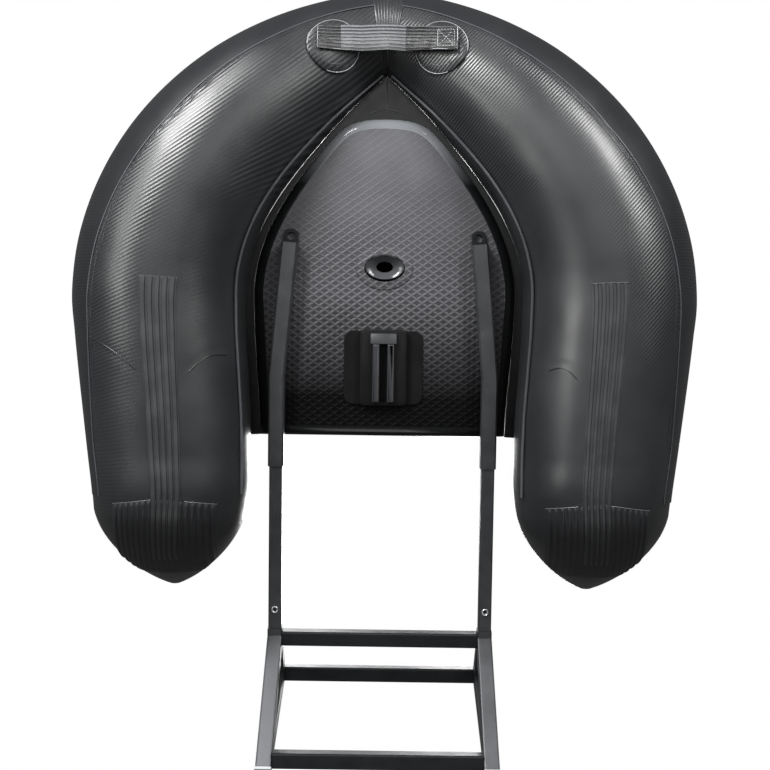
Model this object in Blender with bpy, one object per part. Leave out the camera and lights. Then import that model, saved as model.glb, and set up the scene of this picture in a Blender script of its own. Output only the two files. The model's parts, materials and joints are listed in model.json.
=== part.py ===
# Float tube: two tapered air tubes, a thick seat floor and a telescoping footrest frame.
# Units are metres, +Z is up, the stern points along +Y and the footrest along -Y.
# The boat rests on its keel strips at Z = 0, with the origin under the middle of its outline box.

import math

import bmesh
import bpy
from mathutils import Matrix, Vector
from mathutils.bvhtree import BVHTree

# Clearances
SEAT_GAP = 0.0003
SKIN_GAP = 0.0004
DISC_GAP = 0.0009
CUT_OVERRUN = 0.02

# Steps of the outline's searches and slopes
SEARCH_STEPS = 40
SLOPE_SHARE = 0.02
TRACK_SHARE = 0.05

# Air tubes
HULL_WIDTH = 1.172
TUBE_DIAMETER = 0.322
STERN_TUBE = 0.157
STERN_RISE = 0.10
WIDEST_FROM_STERN = 0.579
LEG_LENGTH = 0.370
LEG_TAPER = 0.0455
LEG_TAPER_SHARE = 1.2
LEG_TOE_IN = 0.015
LEG_TOE_SHARE = 0.8
LEG_ROWS = 5
RINGS_PER_STATION = 3
TUBE_SIDES = 32

# Fore body outline, one row a station from the stern seam to the widest place:
# outer edge across and along, inner edge across and along, rise of the underside
STERN_SHARES = (
    (0.0, 0.0, 0.0, 0.0, 1.0),
    (0.179, 0.020, 0.110, 0.066, 0.93),
    (0.364, 0.080, 0.310, 0.187, 0.72),
    (0.539, 0.177, 0.524, 0.337, 0.46),
    (0.694, 0.306, 0.706, 0.485, 0.25),
    (0.823, 0.461, 0.845, 0.629, 0.10),
    (0.920, 0.636, 0.938, 0.766, 0.03),
    (0.980, 0.821, 0.987, 0.892, 0.0),
    (1.0, 1.0, 1.0, 1.0, 0.0),
)

# Nose cones
CONE_LENGTH = 0.194
CONE_SPLAY = 0.009
CONE_FULLNESS_SHARE = 0.8
CONE_RINGS = 9
TIP_RADIUS = 0.009
TIP_RISE = 0.10
TIP_RISE_SHARE = 1.7

# Keel strips, nose patches and welts
KEEL_BASE = 0.002
KEEL_RIB = 0.0026
KEEL_WIDTH = 0.064
KEEL_RIBS = 5
RIB_SHARES = ((0.2, 0.0), (0.3, 1.0), (0.7, 1.0), (0.8, 0.0))
KEEL_INBOARD_SHARE = 0.8
KEEL_FROM_STERN = 0.560
NOSE_PATCH_WIDTH = 0.178
NOSE_PATCH_RIBS = 12
NOSE_PATCH_BASE = 0.0015
NOSE_PATCH_RIB = 0.0018
NOSE_PATCH_GAP = 0.0017
NOSE_INBOARD_SHARE = 0.12
NOSE_CHEVRON = 0.016
PATCH_WRAP_SHARE = 0.96
WELT_RADIUS = 0.003
WELT_ANGLE = math.radians(203)
WELT_SIDES = 6

# Seat floor, pitched up towards the footrest
DECK_PITCH = math.radians(4.5)
DECK_DATUM = 0.45
DECK_DATUM_HEIGHT = 0.178
FLOOR_THICKNESS = 0.085
FLOOR_END = 0.846
FLOOR_MARGIN = 0.012
FLOOR_TIP_SETBACK = 0.082
FLOOR_TIP_STATION = 3
FLOOR_TIP_POINTS = 9
FLOOR_TIP_SHARE = 0.55
FLOOR_EDGE_RADIUS = 0.020
WEB_THICKNESS = 0.004
WEB_HEIGHT = 0.022
WEB_TUBE_GAP = 0.0005
WEB_SEARCH = (math.radians(95), math.radians(200))

# Drain hole
DRAIN_FROM_STERN = 0.522
DRAIN_WIDTH = 0.078
DRAIN_LENGTH = 0.052
DRAIN_WALL = 0.004
DRAIN_LIP = 0.011
DRAIN_LIP_THICKNESS = 0.0025

# Fin box
FIN_FROM_STERN = 0.712
FIN_PATCH_WIDTH = 0.152
FIN_PATCH_LENGTH = 0.142
FIN_PATCH_THICKNESS = 0.003
FIN_PATCH_CORNER = 0.018
FIN_BASE_WIDTH = 0.091
FIN_BASE_LENGTH = 0.146
FIN_BASE_THICKNESS = 0.010
FIN_SLOT_WIDTH = 0.0152
FIN_SLOT_LENGTH = 0.112
FIN_SLOT_DEPTH = 0.007
FIN_RAIL_WIDTH = 0.013
FIN_RAIL_HEIGHT = 0.009
FIN_CAP_LENGTH = 0.020
FIN_CAP_WIDTH = 0.050

# Frame rails
RAIL_SIZE = 0.030
RAIL_WALL = 0.002
RAIL_CORNER = 0.003
RAIL_TUBE_GAP = 0.0605
RAIL_TOE_IN = 0.0235
RAIL_REAR = 0.476
RAIL_BEND = 0.732
RAIL_STRAIGHT = 0.170
SLIDE_CLEARANCE = 0.0005
INNER_WALL = 0.002
INNER_CORNER = 0.002
INNER_OVERLAP = 0.115
TONGUE_LENGTH = 0.026
TONGUE_WIDTH = 0.027
TONGUE_THICKNESS = 0.005
TONGUE_HOLE = 0.007

# Footrest
FOOT_TUBE = 0.028
FOOT_CORNER = 0.003
UPPER_BAR = 1.238
MIDDLE_BAR_AHEAD = 0.088
MIDDLE_BAR_ABOVE = 0.076
LOWER_BAR_AHEAD = 0.180
LOWER_BAR_BELOW = 0.180
STUB_LENGTH = 0.020
LEG_PAST_BAR = 0.021
CAP_THICKNESS = 0.006
CAP_LIP = 0.001

# Stern handle
HANDLE_REACH = 0.095
HANDLE_ANGLE = math.radians(264)
HANDLE_SETBACK = 0.012
HANDLE_PATCH_RADIUS = 0.051
HANDLE_PATCH_THICKNESS = 0.003
HANDLE_PATCH_GAP = 0.0012
HANDLE_WIDTH = 0.046
HANDLE_THICKNESS = 0.004
HANDLE_ARCH = 0.022
HANDLE_PAST_CENTRE = 0.034
HANDLE_FREE_SHARE = 0.72
HANDLE_STEPS = 16
HANDLE_COLUMNS = 4
STRAP_GAP = 0.0008

# Seat and backrest
SEAT_SIDE_GAP = 0.064
SEAT_LENGTH = 0.370
SEAT_HEIGHT = 0.060
SEAT_FRONT_MARGIN = 0.012
CUSHION_RADIUS = 0.016
BACK_HEIGHT = 0.360
BACK_THICKNESS = 0.050
BACK_RECLINE = math.radians(14)
HINGE_RADIUS = 0.004
HINGE_RISE = 0.003
FLAP_THICKNESS = 0.002
FLAP_DEPTH = 0.035

# Valves and towing rings on the tubes
VALVE_RADIUS = 0.030
VALVE_CAP_RADIUS = 0.021
VALVE_LIFT = 0.0009
VALVE_BASE = 0.004
VALVE_CAP = 0.011
VALVE_STATION = 4.5
VALVE_ANGLE = math.radians(92)
RING_PATCH_RADIUS = 0.036
RING_PATCH_THICKNESS = 0.0025
RING_STATIONS = (6.0, 10.5)
RING_ANGLE = math.radians(62)
RING_RADIUS = 0.019
RING_WIRE = 0.0025


def makeMaterial(name, color, roughness, metallic=0.0):
    material = bpy.data.materials.new(name)
    material.use_nodes = True
    shader = material.node_tree.nodes["Principled BSDF"]
    shader.inputs["Base Color"].default_value = (*color, 1.0)
    shader.inputs["Roughness"].default_value = roughness
    shader.inputs["Metallic"].default_value = metallic
    return material


def makeObject(name, mesh_builder, material, matrix=None):
    mesh_builder.normal_update()
    bmesh.ops.recalc_face_normals(mesh_builder, faces=mesh_builder.faces)
    mesh = bpy.data.meshes.new(name)
    mesh_builder.to_mesh(mesh)
    mesh_builder.free()
    mesh.materials.append(material)
    mesh.shade_smooth()
    mesh.set_sharp_from_angle(angle=math.radians(30))
    thing = bpy.data.objects.new(name, mesh)
    bpy.context.scene.collection.objects.link(thing)
    if matrix is not None:
        thing.matrix_world = matrix
    return thing


# Hull outline: both edges of a tube in plan, station by station from the stern seam

def mixPoints(before, start, end, after, share):
    # Smooth curve through the stations, passing through start and end
    square = share * share
    cube = square * share
    return 0.5 * (2 * start + (end - before) * share
                  + (2 * before - 5 * start + 4 * end - after) * square
                  + (3 * start - before - 3 * end + after) * cube)


def hullStations():
    half_width = HULL_WIDTH / 2
    half_gap = half_width - TUBE_DIAMETER
    run = WIDEST_FROM_STERN - STERN_TUBE
    rows = []
    for outer_x, outer_run, inner_x, inner_run, rise in STERN_SHARES:
        outer = Vector((half_width * outer_x, WIDEST_FROM_STERN * outer_run))
        inner = Vector((half_gap * inner_x, STERN_TUBE + run * inner_run))
        rows.append((outer, inner, STERN_RISE * rise))
    for row in range(1, LEG_ROWS + 1):
        share = row / LEG_ROWS
        along = WIDEST_FROM_STERN + LEG_LENGTH * share
        outer = Vector((half_width - LEG_TAPER * share ** LEG_TAPER_SHARE, along))
        toe = math.sin(math.pi / 2 * min(share / LEG_TOE_SHARE, 1.0)) ** 2
        inner = Vector((half_gap - LEG_TOE_IN * toe, along))
        rows.append((outer, inner, 0.0))
    return rows


STATIONS = hullStations()
LAST_STATION = len(STATIONS) - 1
KEEL_HEIGHT = KEEL_BASE + KEEL_RIB + SKIN_GAP


def ringPlaces(start, end):
    # Places of a tube's rings: closer together round the curved stern than along the legs
    places = [start]
    for station in range(LAST_STATION):
        steps = RINGS_PER_STATION if station < len(STERN_SHARES) - 1 else 1
        places += [station + step / steps for step in range(steps)]
    places.append(LAST_STATION)
    return sorted({place for place in places if start <= place <= end} | {end})


def hullSection(place):
    # Outer edge, inner edge and underside at a place given in stations
    index = min(int(place), LAST_STATION - 1)
    share = place - index
    picks = []
    for offset in (-1, 0, 1, 2):
        row = index + offset
        if row < 0:
            outer, inner, low = STATIONS[1]
            start_inner = STATIONS[0][1]
            picks.append((Vector((-outer.x, outer.y)), 2 * start_inner - inner, low))
        elif row > LAST_STATION:
            last, before = STATIONS[-1], STATIONS[-2]
            picks.append(tuple(2 * end - start for end, start in zip(last, before)))
        else:
            picks.append(STATIONS[row])
    outer, inner, low = (mixPoints(*(pick[part] for pick in picks), share) for part in range(3))
    return outer, inner, max(low, 0.0) + KEEL_HEIGHT


def sectionFrame(place):
    # Centre, outward direction and radius of the round section there, in plan and height
    outer, inner, low = hullSection(min(place, LAST_STATION))
    radius = (outer - inner).length / 2
    centre = (outer + inner) / 2
    away = (outer - inner).normalized()
    height = low + radius
    if place > LAST_STATION:
        share = place - LAST_STATION
        radius *= (1 - share * share) ** CONE_FULLNESS_SHARE
        centre = centre + Vector((CONE_SPLAY * share, CONE_LENGTH * share))
        height += TIP_RISE * share ** TIP_RISE_SHARE
    return centre, away, radius, height


def hullPoint(side, place, angle, lift=0.0):
    # Angle 0 is the outer side, 90 degrees the top, 180 the inner side and 270 the underside
    centre, away, radius, height = sectionFrame(place)
    reach = radius + lift
    across = centre + away * (reach * math.cos(angle))
    along = SHIFT - across.y
    return Vector((side * (across.x + SEAT_GAP / 2), along, height + reach * math.sin(angle)))


def hullNormal(side, place, angle):
    step = SLOPE_SHARE if place < LAST_STATION else -SLOPE_SHARE
    here = hullPoint(side, place, angle)
    along = hullPoint(side, place + step, angle) - here
    around = hullPoint(side, place, angle + SLOPE_SHARE) - here
    normal = along.cross(around).normalized()
    centre, away, radius, height = sectionFrame(place)
    middle = Vector((side * centre.x, SHIFT - centre.y, height))
    return normal if normal.dot(here - middle) > 0 else -normal


# Deck plane: the floor, rails and fin box lie along it, a run from the stern and a height above it

def deckMatrix():
    origin = Vector((0.0, SHIFT - DECK_DATUM, DECK_DATUM_HEIGHT))
    return Matrix.Translation(origin) @ Matrix.Rotation(-DECK_PITCH, 4, "X")


def deckRun(run):
    # Place along the pitched deck of a plan distance from the stern
    return -(run - DECK_DATUM) / math.cos(DECK_PITCH)


def deckPlace(across, run, height):
    return deckMatrix() @ Vector((across, deckRun(run), height))


def overallLength():
    # The footrest's lowest corner is the point farthest from the stern
    down = Vector((LOWER_BAR_AHEAD, -LOWER_BAR_BELOW)).normalized()
    side = Vector((-down.y, down.x))
    half = FOOT_TUBE / 2 + CAP_LIP
    start = UPPER_BAR + (SEAT_GAP + RAIL_SIZE / 2) * math.sin(DECK_PITCH)
    end = Vector((start + LOWER_BAR_AHEAD, 0.0)) + down * (LEG_PAST_BAR + CAP_THICKNESS + SEAT_GAP)
    return (end + side * half).x


SHIFT = overallLength() / 2


# Mesh helpers

def loftRings(rings):
    # Closed solid through rings of points that run the same way round
    builder = bmesh.new()
    loops = []
    for ring in rings:
        circle = bmesh.ops.create_circle(builder, segments=len(ring), radius=TUBE_DIAMETER)["verts"]
        for vert, point in zip(circle, ring):
            vert.co = point
        loops.append(circle)
    for first, second in zip(loops, loops[1:]):
        count = len(first)
        for index in range(count):
            after = (index + 1) % count
            builder.faces.new((first[index], first[after], second[after], second[index]))
    builder.faces.new(loops[0])
    builder.faces.new(loops[-1])
    return builder


def closeSheet(builder, under, over):
    # Solid between two equal grids of points, one below and one above
    layers = []
    for grid in (under, over):
        rows, columns = len(grid), len(grid[0])
        made = bmesh.ops.create_grid(builder, x_segments=columns - 1, y_segments=rows - 1, size=0.5)["verts"]
        placed = {}
        for vert in made:
            column = round((vert.co.x + 0.5) * (columns - 1))
            row = round((vert.co.y + 0.5) * (rows - 1))
            placed[vert] = grid[row][column]
        for vert, point in placed.items():
            vert.co = point
        layers.append(made)
    rims = []
    for made in layers:
        inside = set(made)
        rims += [edge for edge in builder.edges if edge.is_boundary and edge.verts[0] in inside]
    bmesh.ops.bridge_loops(builder, edges=rims)
    return builder


def boxBuilder(size, centre):
    builder = bmesh.new()
    bmesh.ops.create_cube(builder, size=1.0)
    bmesh.ops.scale(builder, vec=size, verts=builder.verts)
    bmesh.ops.translate(builder, vec=centre, verts=builder.verts)
    return builder


def bevelEdges(builder, edges, width, segments):
    bmesh.ops.bevel(builder, geom=edges, offset=width, offset_type="OFFSET", segments=segments,
                    profile=0.5, affect="EDGES", material=-1)


def edgesAlong(builder, axis, tolerance=0.001):
    chosen = []
    for edge in builder.edges:
        way = (edge.verts[1].co - edge.verts[0].co).normalized()
        if abs(way.dot(axis)) > 1 - tolerance:
            chosen.append(edge)
    return chosen


def addCut(thing, cutter):
    cutter.hide_render = True
    cutter.display_type = "WIRE"
    modifier = thing.modifiers.new(cutter.name, "BOOLEAN")
    modifier.operation = "DIFFERENCE"
    modifier.solver = "EXACT"
    modifier.object = cutter


# Air tubes and what is welded to them

def airTube(name, side, material):
    rings = []
    for place in ringPlaces(0.0, LAST_STATION):
        rings.append([hullPoint(side, place, 2 * math.pi * turn / TUBE_SIDES) for turn in range(TUBE_SIDES)])
    return makeObject(name, loftRings(rings), material)


def coneShares():
    # Rings of a cone, closer together towards its blunt tip
    radius = sectionFrame(LAST_STATION)[2]
    end_share = math.sqrt(1 - (TIP_RADIUS / radius) ** (1 / CONE_FULLNESS_SHARE))
    return [end_share * math.sin(math.pi / 2 * step / CONE_RINGS) for step in range(CONE_RINGS + 1)]


def noseCone(name, side, material):
    rings = []
    for share in coneShares():
        place = LAST_STATION + share
        ring = [hullPoint(side, place, 2 * math.pi * turn / TUBE_SIDES) for turn in range(TUBE_SIDES)]
        rings.append([point - Vector((0.0, SEAT_GAP, 0.0)) for point in ring])
    return makeObject(name, loftRings(rings), material)


def flatRibs(ribs, base, rib):
    # Places across a strip and its thickness there, for flat-topped ribs with slanted sides
    places = [(0.0, base)]
    for number in range(ribs):
        for share, lift in RIB_SHARES:
            places.append(((number + share) / ribs, base + rib * lift))
    places.append((1.0, base))
    return places


def pointedRibs(ribs, base, rib):
    steps = 2 * ribs
    return [(step / steps, base + rib * (step % 2)) for step in range(steps + 1)]


def skinPatch(name, side, places, width, inboard_share, columns, chevron, gap, material):
    # Strip that follows the underside of a tube, inboard of its lowest line, with ribs along it
    under, over = [], []
    for row, place in enumerate(places):
        radius = sectionFrame(place)[2]
        spread = math.asin(min(width / 2 / radius, PATCH_WRAP_SHARE))
        middle = math.radians(270) - spread * inboard_share
        under_row, over_row = [], []
        for share, height in columns:
            angle = middle + spread * (2 * share - 1)
            top = place + (chevron * abs(2 * share - 1) if row == 0 else 0.0)
            normal = hullNormal(side, top, angle)
            point = hullPoint(side, top, angle)
            under_row.append(point + normal * gap)
            over_row.append(point + normal * (gap + height))
        under.append(under_row)
        over.append(over_row)
    return makeObject(name, closeSheet(bmesh.new(), under, over), material)


def keelStrip(name, side, material):
    start = placeWhere(lambda place: sectionFrame(place)[0].y, KEEL_FROM_STERN)
    places = ringPlaces(start, LAST_STATION)
    columns = flatRibs(KEEL_RIBS, KEEL_BASE, KEEL_RIB)
    return skinPatch(name, side, places, KEEL_WIDTH, KEEL_INBOARD_SHARE, columns, 0.0, SKIN_GAP, material)


def placeWhere(measure, value, low=0.0):
    # Station place where a measure that grows along the tube reaches a value
    high = float(LAST_STATION)
    for _ in range(SEARCH_STEPS):
        middle = (low + high) / 2
        if measure(middle) < value:
            low = middle
        else:
            high = middle
    return low


def nosePatch(name, side, material):
    chevron = NOSE_CHEVRON / CONE_LENGTH
    rings = coneShares()[1:-1]
    places = [LAST_STATION + share for share in (chevron / 4, *rings)]
    columns = pointedRibs(NOSE_PATCH_RIBS, NOSE_PATCH_BASE, NOSE_PATCH_RIB)
    return skinPatch(name, side, places, NOSE_PATCH_WIDTH, NOSE_INBOARD_SHARE, columns, chevron,
                     NOSE_PATCH_GAP, material)


def welt(name, side, material):
    # Bead welded along the tube's inner edge, on the side that faces down
    rings = []
    for place in ringPlaces(1 / RINGS_PER_STATION, LAST_STATION):
        normal = hullNormal(side, place, WELT_ANGLE)
        forward = (hullPoint(side, place + TRACK_SHARE, WELT_ANGLE)
                   - hullPoint(side, place - TRACK_SHARE, WELT_ANGLE)).normalized()
        across = forward.cross(normal).normalized()
        middle = hullPoint(side, place, WELT_ANGLE) + normal * (WELT_RADIUS + SKIN_GAP)
        ring = []
        for turn in range(WELT_SIDES):
            angle = 2 * math.pi * turn / WELT_SIDES
            ring.append(middle + (normal * math.sin(angle) + across * math.cos(angle)) * WELT_RADIUS)
        rings.append(ring)
    return makeObject(name, loftRings(rings), material)


def skinDisc(name, side, place, angle, radius, thickness, gap, material, rings=3, sides=24):
    # Round patch that lies on a tube
    reach = sectionFrame(place)[2]
    track = hullPoint(side, place + TRACK_SHARE, angle) - hullPoint(side, place - TRACK_SHARE, angle)
    pace = track.length / (2 * TRACK_SHARE)
    layers = []
    for lift in (gap, gap + thickness):
        loops = []
        for ring in range(1, rings + 1):
            share = ring / rings
            loop = []
            for turn in range(sides):
                way = 2 * math.pi * turn / sides
                here = place + radius * share * math.cos(way) / pace
                around = angle + radius * share * math.sin(way) / reach
                loop.append(hullPoint(side, here, around) + hullNormal(side, here, around) * lift)
            loops.append(loop)
        layers.append(loops)
    builder = bmesh.new()
    order = [*layers[0], *reversed(layers[1])]
    return makeObject(name, loftRings(order), material)


# Seat floor

def floorEdge(place):
    outer, inner, low = hullSection(place)
    inward = (inner - outer).normalized()
    return inner + inward * FLOOR_MARGIN


def floorPlan():
    # Half outline of the floor from its rounded tip to the front edge, with the place on the tube beside it
    tip = Vector((0.0, STERN_TUBE + FLOOR_TIP_SETBACK))
    join = floorEdge(FLOOR_TIP_STATION)
    tangent = (floorEdge(FLOOR_TIP_STATION + TRACK_SHARE) - join).normalized()
    reach = join.x * FLOOR_TIP_SHARE
    turns = (tip, tip + Vector((reach, 0.0)), join - tangent * reach, join)
    points = []
    for step in range(FLOOR_TIP_POINTS):
        share = step / FLOOR_TIP_POINTS
        rest = 1 - share
        point = (turns[0] * rest ** 3 + turns[1] * 3 * rest ** 2 * share
                 + turns[2] * 3 * rest * share ** 2 + turns[3] * share ** 3)
        points.append((point, FLOOR_TIP_STATION * share))
    end = placeWhere(lambda place: floorEdge(place).y, FLOOR_END, FLOOR_TIP_STATION)
    for place in ringPlaces(FLOOR_TIP_STATION, end):
        points.append((floorEdge(place), place))
    points[-1][0].y = FLOOR_END
    return points


def seatFloor(material):
    plan = floorPlan()
    right = [point for point, place in plan]
    left = [Vector((-point.x, point.y)) for point in reversed(right[1:])]
    builder = bmesh.new()
    rim = [builder.verts.new((point.x, deckRun(point.y), 0.0)) for point in left + right]
    face = builder.faces.new(rim)
    grown = bmesh.ops.extrude_face_region(builder, geom=[face])["geom"]
    top = [item for item in grown if isinstance(item, bmesh.types.BMVert)]
    bmesh.ops.translate(builder, vec=(0.0, 0.0, FLOOR_THICKNESS), verts=top)
    flat = [edge for edge in builder.edges if abs(edge.verts[0].co.z - edge.verts[1].co.z) < FLOOR_THICKNESS / 2]
    bevelEdges(builder, flat, FLOOR_EDGE_RADIUS, 3)
    floor = makeObject("floor", builder, material, deckMatrix())
    cutter = ovalCutter("drain_cutter", DRAIN_WIDTH / 2 + DRAIN_WALL + SEAT_GAP,
                        DRAIN_LENGTH / 2 + DRAIN_WALL + SEAT_GAP, DRAIN_FROM_STERN,
                        -CUT_OVERRUN, FLOOR_THICKNESS + CUT_OVERRUN)
    addCut(floor, cutter)
    return floor


def ovalCutter(name, half_width, half_length, run, low, high):
    builder = bmesh.new()
    bmesh.ops.create_cone(builder, cap_ends=True, segments=32, radius1=1.0, radius2=1.0, depth=1.0)
    bmesh.ops.scale(builder, vec=(half_width, half_length, high - low), verts=builder.verts)
    bmesh.ops.translate(builder, vec=(0.0, deckRun(run), (high + low) / 2), verts=builder.verts)
    material = bpy.data.materials.get("cutter") or makeMaterial("cutter", (0.8, 0.1, 0.1), 0.5)
    return makeObject(name, builder, material, deckMatrix())


def tubeBeside(place, height):
    # Point on the tube's inner side at the given height above the deck plane, in deck coordinates
    inverse = deckMatrix().inverted()
    centre, away, radius, middle = sectionFrame(place)
    low, high = WEB_SEARCH
    for _ in range(SEARCH_STEPS):
        angle = (low + high) / 2
        point = inverse @ hullPoint(1, place, angle)
        if point.z > height:
            low = angle
        else:
            high = angle
    point = hullPoint(1, place, angle) + hullNormal(1, place, angle) * WEB_TUBE_GAP
    return inverse @ point


def floorWeb(material):
    # Flat web between the floor's edge and the tubes, all round from leg to leg
    plan = floorPlan()
    low, high = WEB_HEIGHT - WEB_THICKNESS / 2, WEB_HEIGHT + WEB_THICKNESS / 2
    half = []
    for index, (point, place) in enumerate(plan):
        before = plan[max(index - 1, 0)][0]
        after = plan[min(index + 1, len(plan) - 1)][0]
        along = (after - before).normalized()
        if index == 0:
            along = Vector((1.0, 0.0))
        outward = Vector((along.y, -along.x))
        edge = point + outward * SEAT_GAP
        inner = Vector((edge.x, deckRun(edge.y), 0.0))
        column = []
        for height in (low, high):
            beside = tubeBeside(place, height)
            if index == 0:
                beside.x = 0.0
            column.append((Vector((inner.x, inner.y, height)), beside))
        half.append(column)
    chain = [[tuple(Vector((-p.x, p.y, p.z)) for p in pair) for pair in column] for column in reversed(half[1:])]
    chain += half
    under = [[column[0][0], column[0][1]] for column in chain]
    over = [[column[1][0], column[1][1]] for column in chain]
    return makeObject("floor_web", closeSheet(bmesh.new(), under, over), material, deckMatrix())


def drainSleeve(material):
    # Oval sleeve through the floor with a lip on each face
    half_width, half_length = DRAIN_WIDTH / 2, DRAIN_LENGTH / 2
    top = FLOOR_THICKNESS + SEAT_GAP
    outline = (
        (0.0, -SEAT_GAP - DRAIN_LIP_THICKNESS),
        (DRAIN_WALL + DRAIN_LIP, -SEAT_GAP - DRAIN_LIP_THICKNESS / 2),
        (DRAIN_WALL + DRAIN_LIP, -SEAT_GAP),
        (DRAIN_WALL, -SEAT_GAP),
        (DRAIN_WALL, top),
        (DRAIN_WALL + DRAIN_LIP, top),
        (DRAIN_WALL + DRAIN_LIP, top + DRAIN_LIP_THICKNESS / 2),
        (0.0, top + DRAIN_LIP_THICKNESS),
    )
    sides = 32
    builder = bmesh.new()
    loops = []
    for grow, height in outline:
        loop = []
        for turn in range(sides):
            way = 2 * math.pi * turn / sides
            across = (half_width + grow) * math.cos(way)
            along = deckRun(DRAIN_FROM_STERN) + (half_length + grow) * math.sin(way)
            loop.append(builder.verts.new((across, along, height)))
        loops.append(loop)
    for index, loop in enumerate(loops):
        other = loops[(index + 1) % len(loops)]
        for turn in range(sides):
            after = (turn + 1) % sides
            builder.faces.new((loop[turn], loop[after], other[after], other[turn]))
    return makeObject("drain_sleeve", builder, material, deckMatrix())


# Fin box under the floor

def finBox(patch_material, box_material):
    top = -SEAT_GAP
    middle = deckRun(FIN_FROM_STERN)
    builder = boxBuilder((FIN_PATCH_WIDTH, FIN_PATCH_LENGTH, FIN_PATCH_THICKNESS),
                         (0.0, middle, top - FIN_PATCH_THICKNESS / 2))
    bevelEdges(builder, edgesAlong(builder, Vector((0, 0, 1))), FIN_PATCH_CORNER, 4)
    makeObject("fin_patch", builder, patch_material, deckMatrix())

    top -= FIN_PATCH_THICKNESS + SEAT_GAP
    builder = boxBuilder((FIN_BASE_WIDTH, FIN_BASE_LENGTH, FIN_BASE_THICKNESS),
                         (0.0, middle, top - FIN_BASE_THICKNESS / 2))
    bevelEdges(builder, edgesAlong(builder, Vector((0, 0, 1))), FIN_PATCH_CORNER / 2, 4)
    rim = [edge for edge in builder.edges if all(vert.co.z < top - FIN_BASE_THICKNESS / 2 for vert in edge.verts)]
    bevelEdges(builder, rim, FIN_BASE_THICKNESS / 3, 2)
    base = makeObject("fin_base", builder, box_material, deckMatrix())
    slot_end = middle + (FIN_BASE_LENGTH - FIN_SLOT_LENGTH) / 2 - FIN_BASE_LENGTH / 2 + FIN_SLOT_LENGTH / 2
    floor_of_slot = top - FIN_BASE_THICKNESS
    cut_height = FIN_SLOT_DEPTH + CUT_OVERRUN
    builder = boxBuilder((FIN_SLOT_WIDTH, FIN_SLOT_LENGTH, cut_height),
                         (0.0, slot_end - FIN_CAP_LENGTH / 2, floor_of_slot + FIN_SLOT_DEPTH - cut_height / 2))
    cutter = makeObject("fin_slot_cutter", builder, box_material, deckMatrix())
    addCut(base, cutter)

    face = floor_of_slot - SEAT_GAP
    for side, word in ((-1, "left"), (1, "right")):
        across = side * (FIN_SLOT_WIDTH + FIN_RAIL_WIDTH) / 2
        builder = boxBuilder((FIN_RAIL_WIDTH, FIN_SLOT_LENGTH, FIN_RAIL_HEIGHT),
                             (across, slot_end - FIN_CAP_LENGTH / 2, face - FIN_RAIL_HEIGHT / 2))
        low = [edge for edge in builder.edges if all(vert.co.z < face - FIN_RAIL_HEIGHT / 2 for vert in edge.verts)]
        bevelEdges(builder, low, FIN_RAIL_HEIGHT / 4, 2)
        makeObject("fin_rail_" + word, builder, box_material, deckMatrix())
    cap_middle = slot_end - FIN_CAP_LENGTH / 2 + FIN_SLOT_LENGTH / 2 + SEAT_GAP + FIN_CAP_LENGTH / 2
    builder = boxBuilder((FIN_CAP_WIDTH, FIN_CAP_LENGTH, FIN_RAIL_HEIGHT),
                         (0.0, cap_middle, face - FIN_RAIL_HEIGHT / 2))
    for vert in builder.verts:
        if vert.co.y > cap_middle and vert.co.z < face - FIN_RAIL_HEIGHT / 2:
            vert.co.z = face - FIN_RAIL_HEIGHT / 4
    bevelEdges(builder, list(builder.edges), FIN_RAIL_HEIGHT / 9, 2)
    makeObject("fin_cap", builder, box_material, deckMatrix())


# Frame rails under the floor

def squareLoop(half, corner):
    # Rounded square, two points a corner
    inner = half - corner
    return [(half, -inner), (half, inner), (inner, half), (-inner, half),
            (-half, inner), (-half, -inner), (-inner, -half), (inner, -half)]


def tubeAlong(path, half, corner, wall):
    # Open-ended square tube along points in the deck plane, with mitred bends
    loops = []
    for index, point in enumerate(path):
        before = path[max(index - 1, 0)]
        after = path[min(index + 1, len(path) - 1)]
        way = ((point - before).normalized() if index else Vector((0, 0, 0)))
        way += ((after - point).normalized() if index < len(path) - 1 else Vector((0, 0, 0)))
        way.normalize()
        side = way.cross(Vector((0, 0, 1))).normalized()
        if 0 < index < len(path) - 1:
            turn = (after - point).normalized().dot((point - before).normalized())
            side /= math.sqrt((1 + turn) / 2)
        up = Vector((0, 0, 1))
        outer = [point + side * a + up * b for a, b in squareLoop(half, corner)]
        inner = [point + side * a + up * b for a, b in squareLoop(half - wall, max(corner - wall, wall / 4))]
        loops.append((outer, inner))
    builder = bmesh.new()
    made = [[[builder.verts.new(spot) for spot in loop] for loop in pair] for pair in loops]
    count = len(made[0][0])
    for layer in (0, 1):
        for first, second in zip(made, made[1:]):
            for index in range(count):
                after = (index + 1) % count
                builder.faces.new((first[layer][index], first[layer][after],
                                   second[layer][after], second[layer][index]))
    for end in (made[0], made[-1]):
        for index in range(count):
            after = (index + 1) % count
            builder.faces.new((end[0][index], end[0][after], end[1][after], end[1][index]))
    return builder


def railHeight():
    return -SEAT_GAP - RAIL_SIZE / 2


def railAcross():
    # Half the spacing of the rails, set in from the tubes' inner sides
    return HULL_WIDTH / 2 - TUBE_DIAMETER - RAIL_TUBE_GAP


def railMouth():
    return RAIL_BEND + RAIL_STRAIGHT


def outerRail(name, side, material):
    height = railHeight()
    path = [Vector((side * (railAcross() - RAIL_TOE_IN), deckRun(RAIL_REAR), height)),
            Vector((side * railAcross(), deckRun(RAIL_BEND), height)),
            Vector((side * railAcross(), deckRun(railMouth()), height))]
    return makeObject(name, tubeAlong(path, RAIL_SIZE / 2, RAIL_CORNER, RAIL_WALL), material, deckMatrix())


def innerSize():
    return RAIL_SIZE - 2 * RAIL_WALL - 2 * SLIDE_CLEARANCE


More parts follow.
